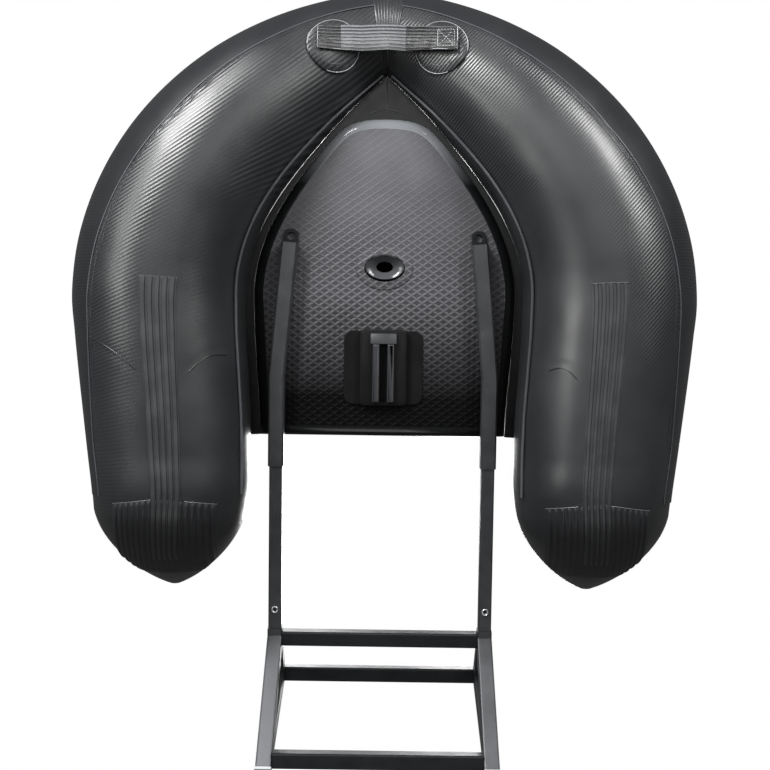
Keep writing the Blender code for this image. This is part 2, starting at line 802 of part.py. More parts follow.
def innerRail(name, side, material):
    height = railHeight()
    end = UPPER_BAR - STUB_LENGTH
    path = [Vector((side * railAcross(), deckRun(railMouth() - INNER_OVERLAP), height)),
            Vector((side * railAcross(), deckRun(end), height))]
    return makeObject(name, tubeAlong(path, innerSize() / 2, INNER_CORNER, INNER_WALL), material, deckMatrix())


def railTongue(name, side, material):
    # Short tongue that holds the rail's rear end to the floor, in line with the rail
    slant = math.atan(RAIL_TOE_IN * math.cos(DECK_PITCH) / (RAIL_BEND - RAIL_REAR))
    end = Vector((side * (railAcross() - RAIL_TOE_IN), deckRun(RAIL_REAR), -SEAT_GAP - TONGUE_THICKNESS / 2))
    place = deckMatrix() @ Matrix.Translation(end) @ Matrix.Rotation(side * slant, 4, "Z")
    builder = boxBuilder((TONGUE_WIDTH, TONGUE_LENGTH, TONGUE_THICKNESS), (0.0, SEAT_GAP + TONGUE_LENGTH / 2, 0.0))
    rounded = [edge for edge in edgesAlong(builder, Vector((0, 0, 1))) if edge.verts[0].co.y > TONGUE_LENGTH / 2]
    bevelEdges(builder, rounded, TONGUE_WIDTH / 3, 4)
    tongue = makeObject(name, builder, material, place)
    cutter = bmesh.new()
    bmesh.ops.create_cone(cutter, cap_ends=True, segments=20, radius1=TONGUE_HOLE, radius2=TONGUE_HOLE,
                          depth=TONGUE_THICKNESS + 2 * CUT_OVERRUN)
    bmesh.ops.translate(cutter, vec=(0.0, SEAT_GAP + TONGUE_LENGTH - TONGUE_WIDTH / 2, 0.0), verts=cutter.verts)
    addCut(tongue, makeObject(name + "_cutter", cutter, material, place))
    return tongue


# Footrest: side members are drawn in a plane along the boat, as run and height

def footrestPoints():
    upper = deckPlace(0.0, UPPER_BAR, railHeight())
    upper = Vector((SHIFT - upper.y, upper.z))
    middle = upper + Vector((MIDDLE_BAR_AHEAD, MIDDLE_BAR_ABOVE))
    lower = upper + Vector((LOWER_BAR_AHEAD, -LOWER_BAR_BELOW))
    return upper, middle, lower


def sideMember(name, points, half, width, across, corner, material):
    # Bent square tube through points of the side plane, closed at its ends, with rounded long edges
    left, right = [], []
    for index, point in enumerate(points):
        ways = []
        if index:
            ways.append((point - points[index - 1]).normalized())
        if index < len(points) - 1:
            ways.append((points[index + 1] - point).normalized())
        way = sum(ways, Vector((0.0, 0.0))).normalized()
        reach = half / way.dot(ways[0])
        side = Vector((-way.y, way.x)) * reach
        left.append(point + side)
        right.append(point - side)
    outline = left + right[::-1]
    builder = bmesh.new()
    start = across - width / 2
    rim = [builder.verts.new((start, SHIFT - spot.x, spot.y)) for spot in outline]
    face = builder.faces.new(rim)
    grown = bmesh.ops.extrude_face_region(builder, geom=[face])["geom"]
    moved = [item for item in grown if isinstance(item, bmesh.types.BMVert)]
    bmesh.ops.translate(builder, vec=(width, 0.0, 0.0), verts=moved)
    if corner:
        count = len(points)
        ends = {0, count - 1, count, 2 * count - 1}
        tips = [Vector((SHIFT - outline[index].x, outline[index].y)) for index in ends]
        bevelEdges(builder, [edge for edge in builder.edges if longEdge(edge, tips)], corner, 2)
    return makeObject(name, builder, material)


def longEdge(edge, tips):
    # An edge along the member: not one across it, and not one of its end faces' sides
    first, second = (vert.co for vert in edge.verts)
    if abs(first.x - second.x) > SEAT_GAP:
        return False
    at_tip = [any((Vector((spot.y, spot.z)) - tip).length < SEAT_GAP for tip in tips) for spot in (first, second)]
    return not all(at_tip) or (first - second).length > FOOT_TUBE + 2 * CAP_LIP + SEAT_GAP


def footrest(metal, cap_material):
    upper, middle, lower = footrestPoints()
    half = FOOT_TUBE / 2
    down = (lower - upper).normalized()
    slope = Vector((math.cos(DECK_PITCH), math.sin(DECK_PITCH)))
    start = upper - slope * (STUB_LENGTH - SEAT_GAP)
    end = lower + down * LEG_PAST_BAR
    for side, word in ((-1, "left"), (1, "right")):
        across = side * railAcross()
        sideMember("footrest_leg_" + word, [start, upper, end], half, FOOT_TUBE, across, FOOT_CORNER, metal)
        arm = sideMember("footrest_arm_" + word, [upper, middle, lower], half, FOOT_TUBE, across, FOOT_CORNER, metal)
        cutter = sideMember("arm_cutter_" + word, [start, upper, end + down * LEG_PAST_BAR], half + SEAT_GAP,
                            FOOT_TUBE + 2 * CUT_OVERRUN, across, 0.0, metal)
        addCut(arm, cutter)
        cap_start = end + down * SEAT_GAP
        sideMember("foot_cap_" + word, [cap_start, cap_start + down * CAP_THICKNESS], half + CAP_LIP,
                   FOOT_TUBE + 2 * CAP_LIP, across, 0.0, cap_material)
    span = 2 * railAcross() - FOOT_TUBE - 2 * SEAT_GAP
    for word, spot, turn in (("upper", upper, DECK_PITCH), ("middle", middle, 0.0), ("lower", lower, 0.0)):
        builder = boxBuilder((span, FOOT_TUBE, FOOT_TUBE), (0.0, 0.0, 0.0))
        bevelEdges(builder, edgesAlong(builder, Vector((1, 0, 0))), FOOT_CORNER, 2)
        place = Matrix.Translation(Vector((0.0, SHIFT - spot.x, spot.y))) @ Matrix.Rotation(-turn, 4, "X")
        makeObject("crossbar_" + word, builder, metal, place)


# Stern handle

def sternHandle(patch_material, strap_material):
    station = placeWhere(lambda place: hullPoint(1, place, HANDLE_ANGLE).x, HANDLE_REACH)
    for side, word in ((-1, "left"), (1, "right")):
        skinDisc("handle_patch_" + word, side, station, HANDLE_ANGLE, HANDLE_PATCH_RADIUS,
                 HANDLE_PATCH_THICKNESS, HANDLE_PATCH_GAP, patch_material)
    # Straight strap from patch to patch, flat and bowed away from the tubes between them
    bpy.context.view_layer.update()
    carriers = []
    for word in ("left", "right"):
        for name in ("tube_", "handle_patch_"):
            thing = bpy.data.objects[name + word]
            carriers.append(BVHTree.FromPolygons([thing.matrix_world @ vert.co for vert in thing.data.vertices],
                                                 [face.vertices for face in thing.data.polygons]))
    centre = hullPoint(1, station, HANDLE_ANGLE).y + HANDLE_SETBACK
    half = HANDLE_REACH + HANDLE_PAST_CENTRE
    columns = HANDLE_COLUMNS
    under, over = [], []
    for step in range(HANDLE_STEPS + 1):
        across = half * (2 * step / HANDLE_STEPS - 1)
        free = min(abs(across) / (half * HANDLE_FREE_SHARE), 1.0)
        bow = HANDLE_ARCH * (1 + math.cos(math.pi * free)) / 2
        along = [centre + HANDLE_WIDTH * (column / columns - 0.5) for column in range(columns + 1)]
        heights = [lowestAbove(carriers, across, place) for place in along]
        level = min(heights)
        row = [Vector((across, place, level + (height - level) * free - STRAP_GAP - bow))
               for place, height in zip(along, heights)]
        over.append(row)
        under.append([point - Vector((0.0, 0.0, HANDLE_THICKNESS)) for point in row])
    return makeObject("stern_handle", closeSheet(bmesh.new(), under, over), strap_material)


def lowestAbove(carriers, across, along):
    # Height of the first surface met when looking straight up, beside the seam rather than into it
    start = Vector((across if abs(across) > SEAT_GAP else SEAT_GAP, along, -TUBE_DIAMETER))
    hits = [tree.ray_cast(start, Vector((0.0, 0.0, 1.0)))[0] for tree in carriers]
    return min(hit.z for hit in hits if hit is not None)


# Seat and backrest

def seatAndBack(cushion_material, strap_material):
    front = deckRun(FLOOR_END) + SEAT_FRONT_MARGIN
    middle = front + SEAT_LENGTH / 2
    base = FLOOR_THICKNESS + DRAIN_LIP_THICKNESS + SEAT_GAP
    seat_width = HULL_WIDTH - 2 * TUBE_DIAMETER - 2 * SEAT_SIDE_GAP
    builder = boxBuilder((seat_width, SEAT_LENGTH, SEAT_HEIGHT), (0.0, middle, base + SEAT_HEIGHT / 2))
    bevelEdges(builder, list(builder.edges), CUSHION_RADIUS, 3)
    makeObject("seat_cushion", builder, cushion_material, deckMatrix())

    # A flap on the cushion's rear face carries a bead, and the backrest turns about the bead
    behind = HINGE_RADIUS + FLAP_THICKNESS + 2 * SEAT_GAP
    width = seat_width - 2 * CUSHION_RADIUS
    hinge = Vector((0.0, front + SEAT_LENGTH + behind, base + SEAT_HEIGHT + HINGE_RISE))
    hinge_place = deckMatrix() @ Matrix.Translation(hinge)
    builder = bmesh.new()
    bmesh.ops.create_cone(builder, cap_ends=True, segments=16, radius1=HINGE_RADIUS, radius2=HINGE_RADIUS,
                          depth=width)
    bmesh.ops.rotate(builder, matrix=Matrix.Rotation(math.pi / 2, 3, "Y"), verts=builder.verts)
    makeObject("backrest_hinge", builder, strap_material, hinge_place)
    depth = HINGE_RISE + CUSHION_RADIUS + FLAP_DEPTH
    builder = boxBuilder((width, FLAP_THICKNESS, depth), (0.0, SEAT_GAP + FLAP_THICKNESS / 2 - behind, -depth / 2))
    makeObject("hinge_flap", builder, strap_material, hinge_place)

    # The pad stands on its hinge line, its flat front face just behind the bead
    below = CUSHION_RADIUS + HINGE_RADIUS
    builder = boxBuilder((seat_width, BACK_THICKNESS, BACK_HEIGHT),
                         (0.0, HINGE_RADIUS + SEAT_GAP + BACK_THICKNESS / 2, BACK_HEIGHT / 2 - below))
    bevelEdges(builder, list(builder.edges), CUSHION_RADIUS, 3)
    lean = Matrix.Rotation(-BACK_RECLINE, 4, "X")
    makeObject("backrest_pad", builder, cushion_material, Matrix.Translation(hinge_place.translation) @ lean)


# Valves and towing rings

def airValve(name, side, station, angle, material):
    spot = hullPoint(side, station, angle)
    normal = hullNormal(side, station, angle)
    turn = Vector((0, 0, 1)).rotation_difference(normal).to_matrix().to_4x4()
    outline = [(VALVE_RADIUS, VALVE_LIFT), (VALVE_RADIUS, VALVE_BASE), (VALVE_CAP_RADIUS, VALVE_BASE + SKIN_GAP),
               (VALVE_CAP_RADIUS, VALVE_CAP), (VALVE_CAP_RADIUS * 0.8, VALVE_CAP + VALVE_BASE / 2)]
    rings = []
    for radius, height in outline:
        rings.append([Vector((radius * math.cos(2 * math.pi * turn_ / 24), radius * math.sin(2 * math.pi * turn_ / 24),
                              height)) for turn_ in range(24)])
    return makeObject(name, loftRings(rings), material, Matrix.Translation(spot) @ turn)


def towRing(name, side, station, angle, metal, material):
    skinDisc("ring_patch_" + name, side, station, angle, RING_PATCH_RADIUS, RING_PATCH_THICKNESS, DISC_GAP, material)
    normal = hullNormal(side, station, angle)
    spot = hullPoint(side, station, angle) + normal * (DISC_GAP + RING_PATCH_THICKNESS + SEAT_GAP + RING_WIRE)
    track = hullPoint(side, station + TRACK_SHARE, angle) - hullPoint(side, station - TRACK_SHARE, angle)
    along = track.normalized()
    across = normal.cross(along).normalized()
    rings = []
    turns, sides = 20, 6
    builder = bmesh.new()
    loops = []
    for turn in range(turns):
        way = 2 * math.pi * turn / turns
        out = along * math.cos(way) + across * math.sin(way)
        middle = spot + out * RING_RADIUS
        loop = []
        for step in range(sides):
            around = 2 * math.pi * step / sides
            loop.append(builder.verts.new(middle + (out * math.cos(around) + normal * math.sin(around)) * RING_WIRE))
        loops.append(loop)
    for index, loop in enumerate(loops):
        other = loops[(index + 1) % turns]
        for step in range(sides):
            after = (step + 1) % sides
            builder.faces.new((loop[step], loop[after], other[after], other[step]))
    return makeObject("tow_ring_" + name, builder, metal)


def buildFloatTube():
    for thing in list(bpy.data.objects):
        bpy.data.objects.remove(thing, do_unlink=True)
    pvc = makeMaterial("tube_fabric", (0.035, 0.036, 0.038), 0.38)
    rubber = makeMaterial("patch_rubber", (0.05, 0.05, 0.052), 0.6)
    floor_material = makeMaterial("floor_foam", (0.045, 0.046, 0.048), 0.55)
    plastic = makeMaterial("moulded_plastic", (0.02, 0.02, 0.022), 0.4)
    metal = makeMaterial("coated_aluminium", (0.06, 0.065, 0.07), 0.42, 0.6)
    cap_material = makeMaterial("cap_plastic", (0.28, 0.29, 0.30), 0.5)
    webbing = makeMaterial("webbing", (0.03, 0.03, 0.03), 0.8)
    cushion = makeMaterial("cushion_fabric", (0.05, 0.05, 0.055), 0.85)
    steel = makeMaterial("ring_steel", (0.6, 0.6, 0.6), 0.3, 1.0)

    for side, word in ((-1, "left"), (1, "right")):
        airTube("tube_" + word, side, pvc)
        noseCone("nose_cone_" + word, side, pvc)
        keelStrip("keel_strip_" + word, side, rubber)
        nosePatch("nose_patch_" + word, side, rubber)
        welt("welt_" + word, side, pvc)
        outerRail("outer_rail_" + word, side, metal)
        innerRail("inner_rail_" + word, side, metal)
        railTongue("rail_tongue_" + word, side, metal)
        airValve("air_valve_" + word, side, VALVE_STATION, VALVE_ANGLE, plastic)
        for number, station in enumerate(RING_STATIONS):
            towRing(word + ("_rear" if number == 0 else "_front"), side, station, RING_ANGLE, steel, rubber)
    seatFloor(floor_material)
    floorWeb(pvc)
    drainSleeve(plastic)
    finBox(rubber, plastic)
    footrest(metal, cap_material)
    sternHandle(rubber, webbing)
    seatAndBack(cushion, webbing)


buildFloatTube()
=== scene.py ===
# The float tube's finish: coated fabric, embossed floor, coated frame, padded seat and studio.
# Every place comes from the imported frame, in metres, +Z up, the stern along +Y.
import json
import math
import bmesh
import bpy
import numpy as np
from mathutils import Matrix, Vector, noise
from mathutils.bvhtree import BVHTree

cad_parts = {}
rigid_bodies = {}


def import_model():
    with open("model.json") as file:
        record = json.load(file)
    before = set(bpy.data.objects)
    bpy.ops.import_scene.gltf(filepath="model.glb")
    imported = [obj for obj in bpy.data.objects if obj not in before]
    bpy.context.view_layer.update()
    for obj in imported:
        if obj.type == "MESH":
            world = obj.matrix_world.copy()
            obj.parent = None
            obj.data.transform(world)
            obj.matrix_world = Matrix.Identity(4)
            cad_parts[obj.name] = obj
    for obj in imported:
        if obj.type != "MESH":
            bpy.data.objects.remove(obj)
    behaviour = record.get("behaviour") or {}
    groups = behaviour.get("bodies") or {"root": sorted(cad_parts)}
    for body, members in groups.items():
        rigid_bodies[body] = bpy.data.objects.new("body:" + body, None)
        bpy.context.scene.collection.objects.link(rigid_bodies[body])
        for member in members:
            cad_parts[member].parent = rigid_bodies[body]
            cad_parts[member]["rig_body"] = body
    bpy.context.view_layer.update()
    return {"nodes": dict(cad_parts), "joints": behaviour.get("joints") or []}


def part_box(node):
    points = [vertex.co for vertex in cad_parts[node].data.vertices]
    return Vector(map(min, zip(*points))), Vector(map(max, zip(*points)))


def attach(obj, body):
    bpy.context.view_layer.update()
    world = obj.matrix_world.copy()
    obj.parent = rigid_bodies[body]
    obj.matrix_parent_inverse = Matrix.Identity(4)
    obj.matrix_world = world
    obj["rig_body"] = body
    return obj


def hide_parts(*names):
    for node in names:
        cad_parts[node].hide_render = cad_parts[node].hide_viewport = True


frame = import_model()
nodes = frame["nodes"]
sides = {"left": -1, "right": 1}
print("frame loaded:", len(nodes), "nodes")

# The deck plane: the rails lie along it and slide out ahead
slideAxis = next(Vector(joint["axis"]) for joint in frame["joints"] if joint["name"] == "footrest_slide")
deckUp = Vector((1, 0, 0)).cross(-slideAxis.normalized()).normalized()


# Materials
def shade(code):  # sRGB hex to the linear colour that the shader wants
    parts = [int(code[i:i + 2], 16) / 255 for i in (1, 3, 5)]
    return [*((p / 12.92) if p <= 0.04045 else ((p + 0.055) / 1.055) ** 2.4 for p in parts), 1.0]


def addNode(tree, kind, inputs=None, **settings):
    # One node with its settings, each input a value or another node's socket
    node = tree.nodes.new(kind)
    for key, value in settings.items():
        setattr(node, key, value)
    for key, value in (inputs or {}).items():
        if isinstance(value, bpy.types.NodeSocket):
            tree.links.new(value, node.inputs[key])
        else:
            node.inputs[key].default_value = value
    return node


def newMaterial(name, color, roughness, **more):
    material = bpy.data.materials.new(name)
    material.use_nodes = True
    shader = material.node_tree.nodes["Principled BSDF"]
    shader.inputs["Base Color"].default_value = shade(color)
    shader.inputs["Roughness"].default_value = roughness
    for key, value in more.items():
        shader.inputs[key].default_value = value
    return material, material.node_tree, shader


def toned(code, factor):
    # A hex colour made lighter or darker in linear light
    return [min(part * factor, 1.0) for part in shade(code)[:3]] + [1.0]


def calc(tree, operation, a, b=0.0, c=0.0):
    return addNode(tree, "ShaderNodeMath", {0: a, 1: b, 2: c}, operation=operation).outputs[0]


def plus(tree, a, b):
    return calc(tree, "ADD", a, b)


def minus(tree, a, b):
    return calc(tree, "SUBTRACT", a, b)


def times(tree, a, b):
    return calc(tree, "MULTIPLY", a, b)


def cloudy(tree, place, scale, detail):
    # Smooth noise in patches of about one over scale metres
    return addNode(tree, "ShaderNodeTexNoise", {"Vector": place, "Scale": scale, "Detail": detail}).outputs[0]


def objectPlace(tree):
    # The piece's own coordinates, split, in metres
    place = addNode(tree, "ShaderNodeTexCoord").outputs["Object"]
    split = addNode(tree, "ShaderNodeSeparateXYZ", {0: place})
    return place, split.outputs[0], split.outputs[1], split.outputs[2]


def mixColors(tree, factor, first, second):
    node = addNode(tree, "ShaderNodeMix", data_type="RGBA")
    for socket, value in ((node.inputs[0], factor), (node.inputs[6], first), (node.inputs[7], second)):
        if isinstance(value, bpy.types.NodeSocket):
            tree.links.new(value, socket)
        else:
            socket.default_value = value
    return node.outputs[2]


def linkBump(tree, shader, height, distance, strength=1.0):
    bump = addNode(tree, "ShaderNodeBump", {"Height": height, "Distance": distance, "Strength": strength})
    tree.links.new(bump.outputs[0], shader.inputs["Normal"])


def spread(tree, value, low, high, toLow=0.0, toHigh=1.0):
    return addNode(tree, "ShaderNodeMapRange", {0: value, 1: low, 2: high, 3: toLow, 4: toHigh}).outputs[0]


def linkColor(tree, shader, factor, first, second):
    tree.links.new(mixColors(tree, factor, first, second), shader.inputs["Base Color"])


def linkRoughness(tree, shader, cloud, roughness, less, more):
    # Noise lies mostly between 0.3 and 0.7; there it makes the roughness less or more
    rough = spread(tree, cloud, 0.3, 0.7, roughness - less, roughness + more)
    tree.links.new(rough, shader.inputs["Roughness"])


# Coated PVC fabric: a knitted base under a calendered black coat, so fine slanted lines in a soft gloss.
# The real threads are under a millimetre apart; the lines are drawn as coarse as the photograph shows them.
# Both tubes are cut from the roll the same way, so the lines climb to the same hand on either side.
# The lines are real bumps; their light and dark stripes of colour are painted glint
fabricLines = {"depth": 0.00020, "bandDepth": 0.000012, "bandSpacing": 0.0044, "bandContrast": 0.35,
               "right": {"spacing": 0.0075, "from": -0.28, "across": 0.40},
               "left": {"spacing": 0.0080, "slope": 1.1}, "darker": 0.70, "brighter": 1.6, "gloss": 0.12}
# Where the lines and their painted glint show, in plan: on the outer half and by the inner edge at the stern,
# faint elsewhere
fabricFade = {"outerEdge": 0.55, "outerSlope": 0.55, "outerLeast": 0.19, "between": 0.08,
              "innerEdge": 0.5236, "innerSlope": 0.72, "innerFrom": (0.30, 0.36), "stern": (0.46, 0.57),
              "legs": (-0.08, 0.25), "onLegs": 0.22}


def fabricShown(tree, out, y):
    fade = fabricFade
    behind = calc(tree, "MAXIMUM", y, fade["outerLeast"])
    edge = calc(tree, "MULTIPLY_ADD", behind, fade["outerSlope"], minus(tree, out, fade["outerEdge"]))
    outer = spread(tree, edge, -0.02, 0.03, fade["between"], 1.0)
    outer = calc(tree, "MAXIMUM", outer, spread(tree, y, *fade["stern"]))
    edge = calc(tree, "MULTIPLY_ADD", y, -fade["innerSlope"], minus(tree, fade["innerEdge"], out))
    inner = times(tree, spread(tree, edge, -0.015, 0.015), spread(tree, y, *fade["innerFrom"]))
    byLength = spread(tree, y, *fade["legs"], fade["onLegs"], 1.0)
    return times(tree, byLength, calc(tree, "MAXIMUM", outer, inner))


def makePvc(name, color, roughness, lineDepth, direction="fan"):
    coat = {"IOR": 1.53, "Coat Weight": 0.18, "Coat Roughness": 0.22}
    material, tree, shader = newMaterial(name, color, roughness, **coat)
    place, x, y = objectPlace(tree)[:3]
    if direction == "fan":  # lines climb across the stern and flatten out along the legs
        right, left = fabricLines["right"], fabricLines["left"]
        out = calc(tree, "ABSOLUTE", x)
        fan = calc(tree, "EXPONENT", minus(tree, out, right["across"]))
        fan = times(tree, minus(tree, y, right["from"]), calc(tree, "DIVIDE", fan, right["spacing"]))
        straight = calc(tree, "DIVIDE", calc(tree, "MULTIPLY_ADD", out, -left["slope"], y), left["spacing"])
        isLeft = calc(tree, "LESS_THAN", x, 0.0)
        phase = plus(tree, times(tree, straight, isLeft), times(tree, fan, minus(tree, 1.0, isLeft)))
        fade = fabricShown(tree, out, y)
    else:  # lines run across the strip, by its own UV in metres
        uv = addNode(tree, "ShaderNodeUVMap", uv_map="laid").outputs[0]
        along = addNode(tree, "ShaderNodeSeparateXYZ", {0: uv}).outputs[1]
        phase = calc(tree, "DIVIDE", along, fabricLines["bandSpacing"])
        fade = 1.0
    wave = times(tree, calc(tree, "SINE", times(tree, phase, 2 * math.pi)), fade)
    cloud = cloudy(tree, place, 9.0, 3.0)
    grain = cloudy(tree, place, 900.0, 2.0)
    # Painted glint: the line wave colours the fabric in light and dark stripes, the light ones glossier
    lit = spread(tree, wave, -1.0, 1.0)
    contrast = 1.0 if direction == "fan" else fabricLines["bandContrast"]
    dark = toned(color, 1 - fabricLines["darker"] * contrast)
    bright = toned(color, 1 + fabricLines["brighter"] * contrast)
    linkColor(tree, shader, plus(tree, times(tree, lit, 0.75), times(tree, cloud, 0.25)), dark, bright)
    rough = spread(tree, cloud, 0.3, 0.7, roughness - 0.05, roughness + 0.07)
    tree.links.new(plus(tree, rough, times(tree, lit, -fabricLines["gloss"])), shader.inputs["Roughness"])
    linkBump(tree, shader, plus(tree, wave, times(tree, grain, 0.5)), lineDepth)
    return material


def makeRubber(name, color, roughness, specular=0.5):
    # Moulded rubber: dull, with a fine grain and scuffs
    shine = {"IOR": 1.5, "Specular IOR Level": specular}
    material, tree, shader = newMaterial(name, color, roughness, **shine)
    place = objectPlace(tree)[0]
    grain = cloudy(tree, place, 700.0, 3.0)
    scuff = cloudy(tree, place, 22.0, 5.0)
    linkColor(tree, shader, spread(tree, scuff, 0.45, 0.75, 0.0, 0.5), shade(color), toned(color, 1.7))
    linkRoughness(tree, shader, scuff, roughness, 0.08, 0.10)
    linkBump(tree, shader, grain, 0.00012)
    return material


embossing = {"width": 0.0208, "length": 0.0143, "weaker": 0.8, "depth": 0.0008, "grooveTone": 0.34,
             "flatFrom": 0.22, "flatTo": 0.50, "flatShare": 0.88, "darkTo": 0.09, "darkFrom": 0.29}


def makeEmbossed(name, color, front):
    # Calendered PVC floor sheet, embossed with a slanted net of lozenges 20.8 by 14.3 mm.
    # Its grooves take a darker colour, a painted shade; the net flattens towards its tip, and towards its front
    # edge its colour goes nearly black, a painted shade, with its specular turned down.
    material, tree, shader = newMaterial(name, color, 0.5, **{"IOR": 1.53})
    place, x, y = objectPlace(tree)[:3]
    across = times(tree, x, 2 * math.pi / embossing["width"])
    along = times(tree, y, 2 * math.pi / embossing["length"])
    rising = calc(tree, "COSINE", plus(tree, along, across))
    falling = calc(tree, "COSINE", minus(tree, along, across))
    net = calc(tree, "MAXIMUM", rising, times(tree, falling, embossing["weaker"]))
    groove = spread(tree, net, -0.1, 0.85)
    cloud = cloudy(tree, place, 14.0, 4.0)
    fine = cloudy(tree, place, 500.0, 2.0)
    ahead = minus(tree, y, front)
    flat = spread(tree, ahead, embossing["flatFrom"], embossing["flatTo"], 0.0, embossing["flatShare"])
    flattenedNet = calc(tree, "MAXIMUM", groove, flat)
    # Painted shade: the grooves are coloured darker than the lozenges
    base = mixColors(tree, times(tree, flattenedNet, spread(tree, cloud, 0.3, 0.7, 0.75, 1.0)),
                     toned(color, embossing["grooveTone"]), shade(color))
    # Painted shade: the colour goes nearly black towards the front edge
    edge = plus(tree, ahead, times(tree, cloud, 0.03))
    paintedShade = spread(tree, edge, embossing["darkTo"], embossing["darkFrom"], 1.0, 0.0)
    linkColor(tree, shader, paintedShade, base, shade("#060607"))
    tree.links.new(spread(tree, paintedShade, 0.0, 1.0, 0.45, 0.08), shader.inputs["Specular IOR Level"])
    linkRoughness(tree, shader, cloud, 0.5, 0.08, 0.06)
    linkBump(tree, shader, plus(tree, flattenedNet, times(tree, fine, 0.12)), embossing["depth"])
    return material


def makeCoatedMetal(name, color, roughness, grainWay):
    # Anodised aluminium tube: satin, with fine lines along its drawing direction
    material, tree, shader = newMaterial(name, color, roughness, **{"Metallic": 0.85})
    place = objectPlace(tree)[0]
    scale = {"along": (900.0, 8.0, 900.0), "across": (8.0, 900.0, 900.0)}[grainWay]  # lines about 1 mm apart
    mapped = addNode(tree, "ShaderNodeMapping", {"Vector": place, "Scale": scale}).outputs[0]
    lines = cloudy(tree, mapped, 1.0, 2.0)
    cloud = cloudy(tree, place, 30.0, 4.0)
    tone = plus(tree, times(tree, lines, 0.5), times(tree, cloud, 0.5))
    linkColor(tree, shader, tone, toned(color, 0.72), toned(color, 1.35))
    linkRoughness(tree, shader, tone, roughness, 0.06, 0.08)
    linkBump(tree, shader, lines, 0.00006)
    return material


def makePlastic(name, color, roughness, grain=0.00008, specular=0.5):
    # Injection-moulded plastic: even colour with a fine spark-eroded grain
    shine = {"IOR": 1.49, "Specular IOR Level": specular}
    material, tree, shader = newMaterial(name, color, roughness, **shine)
    place = objectPlace(tree)[0]
    fine = cloudy(tree, place, 1100.0, 2.0)
    cloud = cloudy(tree, place, 40.0, 3.0)
    linkRoughness(tree, shader, cloud, roughness, 0.05, 0.06)
    linkColor(tree, shader, cloud, shade(color), toned(color, 1.25))
    linkBump(tree, shader, fine, grain)
    return material


def makeRim(name, dark, pale, roughness, darkTo, paintedHighlightFrom):
    # Welded rim: its colour is darkened along the sides, a painted shade, and pale round the tip, a painted
    # highlight
    material = makePlastic(name, pale, roughness, 0.00003)
    tree = material.node_tree
    tone = spread(tree, objectPlace(tree)[2], darkTo, paintedHighlightFrom)
    linkColor(tree, tree.nodes["Principled BSDF"], tone, shade(dark), shade(pale))
    return material


def makeWeave(name, color, thread):
    # Woven polyester: warp and weft a thread apart, with the sheen of its filaments
    sheen = {"IOR": 1.5, "Sheen Weight": 0.12, "Sheen Roughness": 0.4}
    material, tree, shader = newMaterial(name, color, 0.75, **sheen)
    place, x, y, z = objectPlace(tree)
    turns = 2 * math.pi / thread
    warp = calc(tree, "SINE", times(tree, x, turns))
    weft = calc(tree, "SINE", times(tree, plus(tree, y, z), turns))
    weave = times(tree, warp, weft)
    cloud = cloudy(tree, place, 25.0, 4.0)
    tone = plus(tree, spread(tree, weave, -1.0, 1.0, 0.0, 0.6), times(tree, cloud, 0.4))
    linkColor(tree, shader, tone, toned(color, 0.6), toned(color, 1.5))
    linkBump(tree, shader, weave, thread * 0.2)
    return material


webbingWeave = {"rib": 0.0062, "pick": 0.0022, "depth": 0.0006, "valleyTone": 0.35}


def makeWebbing(name, color):
    # Woven nylon webbing: ribs along its length, 6 mm apart; their valleys take a darker colour, a painted
    # shade, so the tops read as a glint
    material, tree, shader = newMaterial(name, color, 0.45, **{"IOR": 1.53, "Sheen Weight": 0.1})
    uv = addNode(tree, "ShaderNodeUVMap", uv_map="laid").outputs[0]
    split = addNode(tree, "ShaderNodeSeparateXYZ", {0: uv})
    ribs = calc(tree, "SINE", times(tree, split.outputs[0], 2 * math.pi / webbingWeave["rib"]))
    picks = calc(tree, "SINE", times(tree, split.outputs[1], 2 * math.pi / webbingWeave["pick"]))
    height = plus(tree, ribs, times(tree, picks, 0.25))
    valley = toned(color, webbingWeave["valleyTone"])
    linkColor(tree, shader, spread(tree, height, -1.0, 1.0), valley, shade(color))
    linkBump(tree, shader, height, webbingWeave["depth"])
    return material


pvcFabric = makePvc("coatedPvcFabric", "#1b1c1d", 0.42, fabricLines["depth"])
pvcBand = makePvc("coatedPvcBand", "#1b1c1e", 0.40, fabricLines["bandDepth"], "across")
# Painted highlight: a pale PVC for thin seams and rims that catch the light
paleEdgeHighlightPvc = makePlastic("calenderedPvcEdge", "#8c8e92", 0.26, 0.00003)
# Lighter than the tubes' fabric: the welts' own PVC, partly a painted highlight
lightenedWeltPvc = makePlastic("extrudedPvcWelt", "#3d3e41", 0.34, 0.00004)
floorSheet = makeEmbossed("embossedPvcSheet", "#4b4b4f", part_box("floor")[0].y)
ribRubber = makeRubber("mouldedKeelRubber", "#2b2c2d", 0.42)
darkRubber = makeRubber("mouldedPatchRubber", "#1d1e20", 0.5)
# Painted light: a lighter copy of the frame's black coated metal, for the rails and footrest
litFrameMetal = makeCoatedMetal("anodisedAluminiumAlong", "#525355", 0.42, "along")
# Painted shade: a darker copy of the same metal, for the crossbars
shadedBarMetal = makeCoatedMetal("anodisedAluminiumAcross", "#303234", 0.40, "across")
boltSteel = makeCoatedMetal("stainlessSteel", "#d2d4d6", 0.24, "across")
blackPlastic = makePlastic("mouldedNylon", "#121314", 0.30)
capPlastic = makePlastic("mouldedPolyethylene", "#a3a6a8", 0.5)
